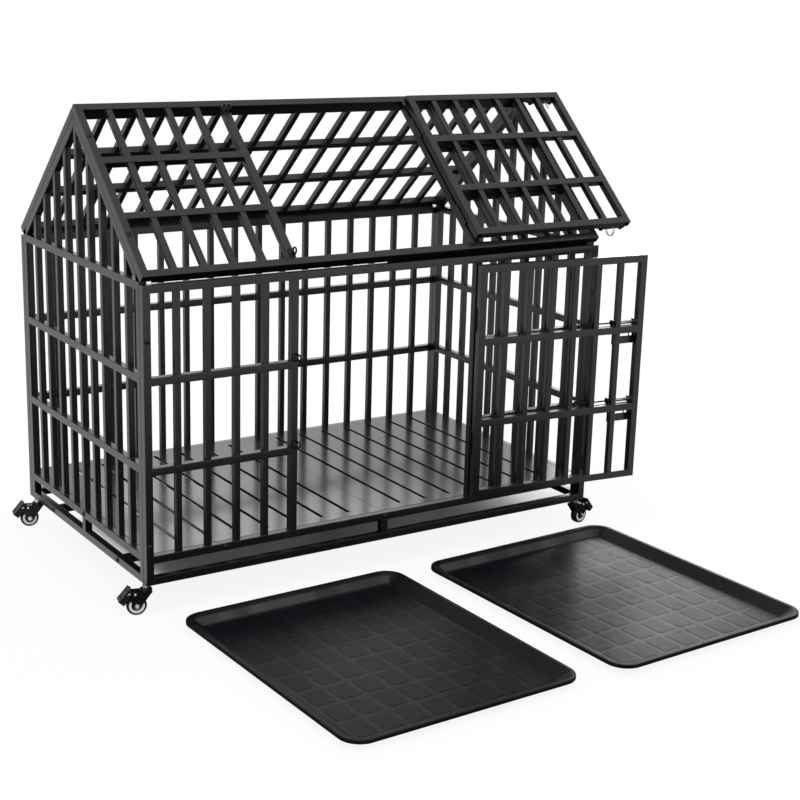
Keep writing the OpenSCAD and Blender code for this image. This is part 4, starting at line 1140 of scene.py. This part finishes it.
class CRATE_OT_casters(bpy.types.Operator):
    """Four braked swivel casters: stem, fork with its ball race, wheel, axle, rivets and pedal"""

    bl_idname = "crate.casters"
    bl_label = "Casters"

    def wheel(self, key, name, place, c):
        """Tyre, cream ring and black dish of one wheel."""
        w, face = c.tyre / 2, c.cheek - 0.0004
        tyre = [(w - 0.0009, c.hub - 0.0004), (w - 0.0002, c.hub + 0.0008), (w, c.wheel - 0.0034),
                (w - 0.0016, c.wheel - 0.0014), (w - 0.0042, c.wheel - 0.0003), (w - 0.0072, c.wheel)]
        ring = [(w - 0.0040, 0.0128), (w - 0.0012, 0.0134), (w - 0.0004, 0.0142),
                (w - 0.0006, c.hub - 0.0012), (w - 0.0014, c.hub - 0.0002)]
        dish = [(w - 0.0042, 0.0131), (w - 0.0050, 0.0118), (w - 0.0052, 0.0078), (w - 0.0012, 0.0070),
                (face, 0.0066), (face, 0.0032)]
        for part, half, steps, finish, nodes, sharp in (
            ("tyre", tyre, 48, "tyre_rubber", [f"tyre_{key}"], 50),
            ("wheel_ring", ring, 48, "hub_plastic", [f"hub_{key}"], 50),
            ("wheel_dish", dish, 40, "hub_dish", (), 35),
        ):
            bench = Bench()
            bench.turned(both_sides(half), (c.trail, 0, c.wheel), (0, 1, 0), steps=steps, closed=True)
            bench.piece(f"{name}_{part}", f"wheel_{key}", finish, nodes, place, sharp)

    def fork(self, key, name, place, c):
        """Stamped fork and the ball race on its crown."""
        low = c.crown + c.plate
        top = low + c.race
        fork = Bench()
        fork.node(f"fork_{key}")
        fork.cut((0, 0, top), (0, 0, 1))
        fork.soften(PRESSED_EDGE)
        fork.piece(f"{name}_fork", f"caster_{key}", "fork_black", [f"fork_{key}"])
        race = Bench()
        race.turned([(low, 0.0150), (low + 0.0018, 0.0158), (low + 0.0040, 0.0155), (top - 0.0004, 0.0136),
                     (top, 0.0124), (top, 0.0062)], steps=40)
        race.piece(f"{name}_ball_race", f"caster_{key}", "fork_black", (), place, 45)

    def nut(self, steel, at, radius, depth, edge):
        """Adds a hexagon nut."""
        nut = Bench()
        bmesh.ops.create_cone(
            nut.bm, cap_ends=True, segments=6, radius1=radius, radius2=radius, depth=depth, matrix=at
        )
        nut.soften(edge)
        steel.join(nut)
        nut.bm.free()

    def pins(self, key, name, place, c):
        """Stem nut, axle with its nuts and washers, pedal pin and rivet."""
        out, seat = c.cheek + c.plate, c.crown + c.plate + c.race
        lying = Matrix.Rotation(math.pi / 2, 4, "X")
        washer = [(0.0009, 0), (0.0009, 0.0058), (0.0005, 0.0061), (-0.0003, 0.0061)]
        axle_end = [(0.0058, 0), (0.0057, 0.0016), (0.0050, 0.0027), (0.0030, 0.0029)]
        head = [(0.0018, 0), (0.0017, 0.0012), (0.0013, 0.0024), (0.0006, 0.0032), (-0.0002, 0.0034)]
        pin, rivet = (c.pin_out, c.pin_up), (c.rivet_out, c.rivet_up)
        # How far a nut's middle stands off its seat, then its radius, depth and rounding.
        stem_nut, axle_nut = (0.0036, 0.0098, 0.0070, PRESSED_EDGE), (0.0026, 0.0055, 0.0036, EAR_EDGE)
        steel = Bench()
        self.nut(steel, Matrix.Translation((0, 0, seat + stem_nut[0])), *stem_nut[1:])
        for side in (-1, 1):
            axis = (0, side, 0)
            nut_at = Matrix.Translation((c.trail, side * (out + axle_nut[0]), c.wheel)) @ lying
            self.nut(steel, nut_at, *axle_nut[1:])
            steel.turned(washer, (c.trail, side * out, c.wheel), axis)
            steel.turned(axle_end, (c.trail, side * out, c.wheel), axis, steps=16)
            for x, z in (pin, rivet):
                steel.turned(head, (c.trail + x, side * out, c.wheel + z), axis, steps=20)
        for (x, z), r in (((0, 0), c.axle), (pin, c.pin), (rivet, c.pin)):
            ends = [(-out, 0), (-out, r), (out, r), (out, 0)]
            steel.turned(ends, (c.trail + x, 0, c.wheel + z), (0, 1, 0), steps=16)
        steel.piece(f"{name}_axle_and_rivets", f"caster_{key}", "zinc_steel", [f"axle_{key}"], place, 38)

    def pedal(self, key, name, place, c):
        """Brake pedal with its skirts, rims, grips and toe, drawn about its pin."""
        pedal = Bench()
        pedal.node(f"pedal_{key}")
        pedal.soften(PEDAL_EDGE)
        pin = Matrix.Translation((c.trail + c.pin_out, 0, c.wheel + c.pin_up))
        at = place @ (pin @ Matrix.Rotation(c.tilt, 4, "Y"))
        # Half width, the two ends along the pedal, the skirts' top, and the start of the raised toe.
        w, head, toe, deck, tip = 0.017, -0.0104, 0.0312, 0.0070, 0.0216
        skirt, rim, grip, notch, lap = 0.0019, 0.0030, 0.0022, 0.0040, 0.0004
        shell = Bench()
        for y0, y1 in ((-w, -w + skirt), (w - skirt, w)):
            shell.block((head, y0, -0.0030), (-notch, y1, deck), at)
            shell.block((-notch - lap, y0, notch), (notch + lap, y1, deck), at)
            shell.block((notch, y0, -deck), (toe - 0.0010, y1, deck), at)
        for y0, y1 in ((-w, -w + rim), (w - rim, w)):
            shell.block((head, y0, deck - lap), (tip + 0.0006, y1, deck + grip), at)
        for k in range(3):
            x = head + 2 * k * grip
            shell.block((x, -w + 0.0024, deck - lap / 2), (x + grip, w - 0.0024, deck + 0.0020), at)
        shell.block((tip, -w, deck - 0.0006), (toe, w, deck + 0.0028), at)
        shell.block((toe - 0.0026, -w, -deck - lap), (toe, w, deck), at)
        shell.soften(PRESSED_EDGE)
        pedal.join(shell)
        shell.bm.free()
        pedal.piece(f"{name}_brake_pedal", f"brake_{key}", "pedal_plastic", [f"pedal_{key}"])

    def execute(self, context):
        c, lay = context.scene.caster_sizes, Layout()
        for (key, name), turn in zip(CASTERS.items(), c.turns):
            side_x, side_y = (-1 if key[1] == "l" else 1), (-1 if key[0] == "f" else 1)
            stem = (side_x * (lay.half_l - lay.tube / 2), side_y * (lay.half_w - 1.5 * lay.tube), 0)
            place = Matrix.Translation(stem) @ Matrix.Rotation(turn, 4, "Z")
            for part in (self.wheel, self.fork, self.pins, self.pedal):
                part(key, name, place, c)
        dress_node("caster_stems", "caster_stem_set", "crate", "zinc_steel", PRESSED_EDGE)
        return {"FINISHED"}


class CRATE_OT_stage(bpy.types.Operator):
    """Pale floor, soft studio light and the camera"""

    bl_idname = "crate.stage"
    bl_label = "Stage"

    def paper(self, s, lay):
        """Floor paper that keeps the crate's shadow, with painted shade under the crate and a painted dark
        reflection near it, and turns plain white round it.
        """
        paper = bpy.data.materials.new("studio_paper")
        paper.use_nodes = True
        f = Finish(paper.node_tree)
        path = f.node("ShaderNodeLightPath")
        mirrored = f.wire(path, "Is Glossy Ray").highest(f.wire(path, "Is Transmission Ray"))
        spot = f.node("ShaderNodeSeparateXYZ", {}, {"Vector": f.place()})
        x, y = f.wire(spot, "X"), f.wire(spot, "Y")
        # Distances outwards from the four sides of the crate.
        left, right = -lay.half_l - x, x - lay.half_l
        before, behind = -lay.half_w - y, y - lay.half_w
        # What the camera sees turns white outside the shadow under the crate; inside it the paper takes the
        # darker paper colour, painted shade over the real shadow.
        ends = left.ramp(-0.205, -0.085).highest(right.ramp(-0.33, 0.28))
        sides = before.ramp(-0.2465, -0.2015).highest(behind.ramp(-0.25, 0.05))
        clear = (ends * ends).highest(sides)
        # What shiny faces mirror turns white far out, and sooner to the left and behind; nearer in they
        # mirror the paper in a dark colour, a painted reflection.
        away = left.ramp(-0.10, 0.10).highest(behind.ramp(0.45, 0.95)) * (1.0 - 0.55 * left.ramp(0.9, 2.3))
        corner = (x - 0.66 * before).ramp(0.2, 0.5) * before.ramp(0.1, 0.6)
        far = before.ramp(0.9, 3.8).highest(0.5 * corner).highest((1.0 - before.ramp(-0.1, 0.1)) * away)
        seen = (f.wire(path, "Is Camera Ray") * clear).highest(mirrored * far)
        # Shiny faces see the dark paper, a painted reflection; the camera sees the paper darkened under the
        # crate, painted shade.
        tone = f.tint(mirrored, s.paper, s.paper_painted_reflection)
        tone = f.tint(seen, tone, s.paper_clear)
        matt = f.wire(f.node("ShaderNodeBsdfDiffuse", {}, {"Color": tone}))
        plain = f.wire(f.node("ShaderNodeEmission", {}, {"Color": (1, 1, 1, 1), "Strength": 1.0}))
        mixed = f.wire(f.node("ShaderNodeMixShader", {}, {0: seen * s.lift, 1: matt, 2: plain}))
        f.node("ShaderNodeOutputMaterial", {}, {"Surface": mixed})
        return paper

    def ground(self, scene, s, lay):
        """The floor that the wheels and the trays stand on."""
        flat = bmesh.new()
        bmesh.ops.create_grid(flat, x_segments=1, y_segments=1, size=s.ground)
        mesh = bpy.data.meshes.new("studio_floor")
        flat.to_mesh(mesh)
        flat.free()
        floor = bpy.data.objects.new("studio_floor", mesh)
        floor.location.z = -s.ground_drop
        scene.collection.objects.link(floor)
        mesh.materials.append(self.paper(s, lay))

    def sky(self, scene, s):
        """Even white light, a little weaker overhead, that shows as plain white."""
        scene.world = bpy.data.worlds.new("studio")
        scene.world.use_nodes = True
        w = Finish(scene.world.node_tree)
        path = w.node("ShaderNodeLightPath")
        camera_ray, glossy = w.wire(path, "Is Camera Ray"), w.wire(path, "Is Glossy Ray")
        seen = camera_ray.highest(glossy).highest(w.wire(path, "Is Transmission Ray"))
        around = w.wire(w.node("ShaderNodeTexCoord"), "Generated")
        height = w.wire(w.node("ShaderNodeSeparateXYZ", {}, {"Vector": around}), "Z")
        shade = (1.0 - camera_ray) * height.ramp(0.1, 0.9) * (1.0 - s.overhead)
        strength = (s.fill + (1.0 - s.fill) * seen) * (1.0 - shade)
        sky = w.wire(w.node("ShaderNodeBackground", {}, {"Color": (1, 1, 1, 1), "Strength": strength}))
        w.node("ShaderNodeOutputWorld", {}, {"Surface": sky})

    def lamps(self, scene, s):
        """Soft key light from the front left, and two lamps behind that light the far edges."""
        key = bpy.data.objects.new("key_light", bpy.data.lights.new("key_light", "SUN"))
        key.data.energy = s.sun
        key.data.angle = s.sun_spread
        key.rotation_euler = s.sun_turn
        scene.collection.objects.link(key)
        aim = Vector((0, 0, 0.5))
        for name, place, size, power in (
            ("rim_light", (2.3, 3.2, 2.3), (3.2, 1.4), s.rim),
            ("low_light", (4.2, 2.9, 1.75), (1.3, 1.0), s.low),
        ):
            lamp = bpy.data.objects.new(name, bpy.data.lights.new(name, "AREA"))
            lamp.data.shape, lamp.data.energy = "RECTANGLE", power
            lamp.data.size, lamp.data.size_y = size
            lamp.location = place
            lamp.rotation_euler = (aim - lamp.location).to_track_quat("-Z", "Y").to_euler()
            lamp.visible_camera = False
            scene.collection.objects.link(lamp)

    def camera(self, scene, s):
        """The camera, turned by its azimuth, elevation and roll."""
        camera = bpy.data.objects.new("camera", bpy.data.cameras.new("camera"))
        camera.data.lens = s.lens
        camera.data.sensor_width = s.sensor
        camera.data.sensor_fit = "HORIZONTAL"
        flat = math.cos(s.elevation)
        back = Vector((math.sin(s.azimuth) * flat, -math.cos(s.azimuth) * flat, math.sin(s.elevation)))
        across = Vector((math.cos(s.azimuth), math.sin(s.azimuth), 0))
        upright = back.cross(across)
        right = math.cos(s.roll) * across + math.sin(s.roll) * upright
        up = math.cos(s.roll) * upright - math.sin(s.roll) * across
        camera.matrix_world = Matrix.Translation(s.eye) @ Matrix((right, up, back)).transposed().to_4x4()
        scene.collection.objects.link(camera)
        scene.camera = camera

    def execute(self, context):
        scene, s = context.scene, context.scene.stage_settings
        self.ground(scene, s, Layout())
        self.sky(scene, s)
        self.lamps(scene, s)
        self.camera(scene, s)
        scene.view_settings.view_transform = "Standard"
        return {"FINISHED"}


class CRATE_PT_panel(bpy.types.Panel):
    """Sizes and pieces of the crate"""

    bl_label = "Gabled dog crate"
    bl_space_type = "VIEW_3D"
    bl_region_type = "UI"
    bl_category = "Crate"

    def draw(self, context):
        column = self.layout.column()
        for step in STEPS:
            column.operator(step.bl_idname)
        for group in GROUPS:
            box = self.layout.box()
            settings = getattr(context.scene, group)
            for name in settings.bl_rna.properties.keys():
                if name not in ("rna_type", "name"):
                    box.prop(settings, name)


STEPS = (
    CRATE_OT_walls, CRATE_OT_roof, CRATE_OT_floor, CRATE_OT_door, CRATE_OT_hatch, CRATE_OT_hinges,
    CRATE_OT_latches, CRATE_OT_fasteners, CRATE_OT_trays, CRATE_OT_casters, CRATE_OT_stage,
)
GROUPS = {
    "crate_sizes": CrateSizes,
    "tray_sizes": TraySizes,
    "caster_sizes": CasterSizes,
    "crate_colours": CrateColours,
    "stage_settings": StageSettings,
}
CLASSES = (*GROUPS.values(), *STEPS, CRATE_PT_panel)


def register():
    """Registers the classes and hangs the settings on the scene."""
    for kind in CLASSES:
        bpy.utils.register_class(kind)
    for name, group in GROUPS.items():
        setattr(bpy.types.Scene, name, PointerProperty(type=group))


def unregister():
    """Takes the settings and the classes away again."""
    for name in GROUPS:
        delattr(bpy.types.Scene, name)
    for kind in reversed(CLASSES):
        bpy.utils.unregister_class(kind)


def main():
    """Builds the crate and its stage."""
    register()
    bpy.ops.crate.walls()
    bpy.ops.crate.roof()
    bpy.ops.crate.floor()
    bpy.ops.crate.door()
    bpy.ops.crate.hatch()
    bpy.ops.crate.hinges()
    bpy.ops.crate.latches()
    bpy.ops.crate.fasteners()
    bpy.ops.crate.trays()
    bpy.ops.crate.casters()
    bpy.ops.crate.stage()


if __name__ == "__main__":
    main()
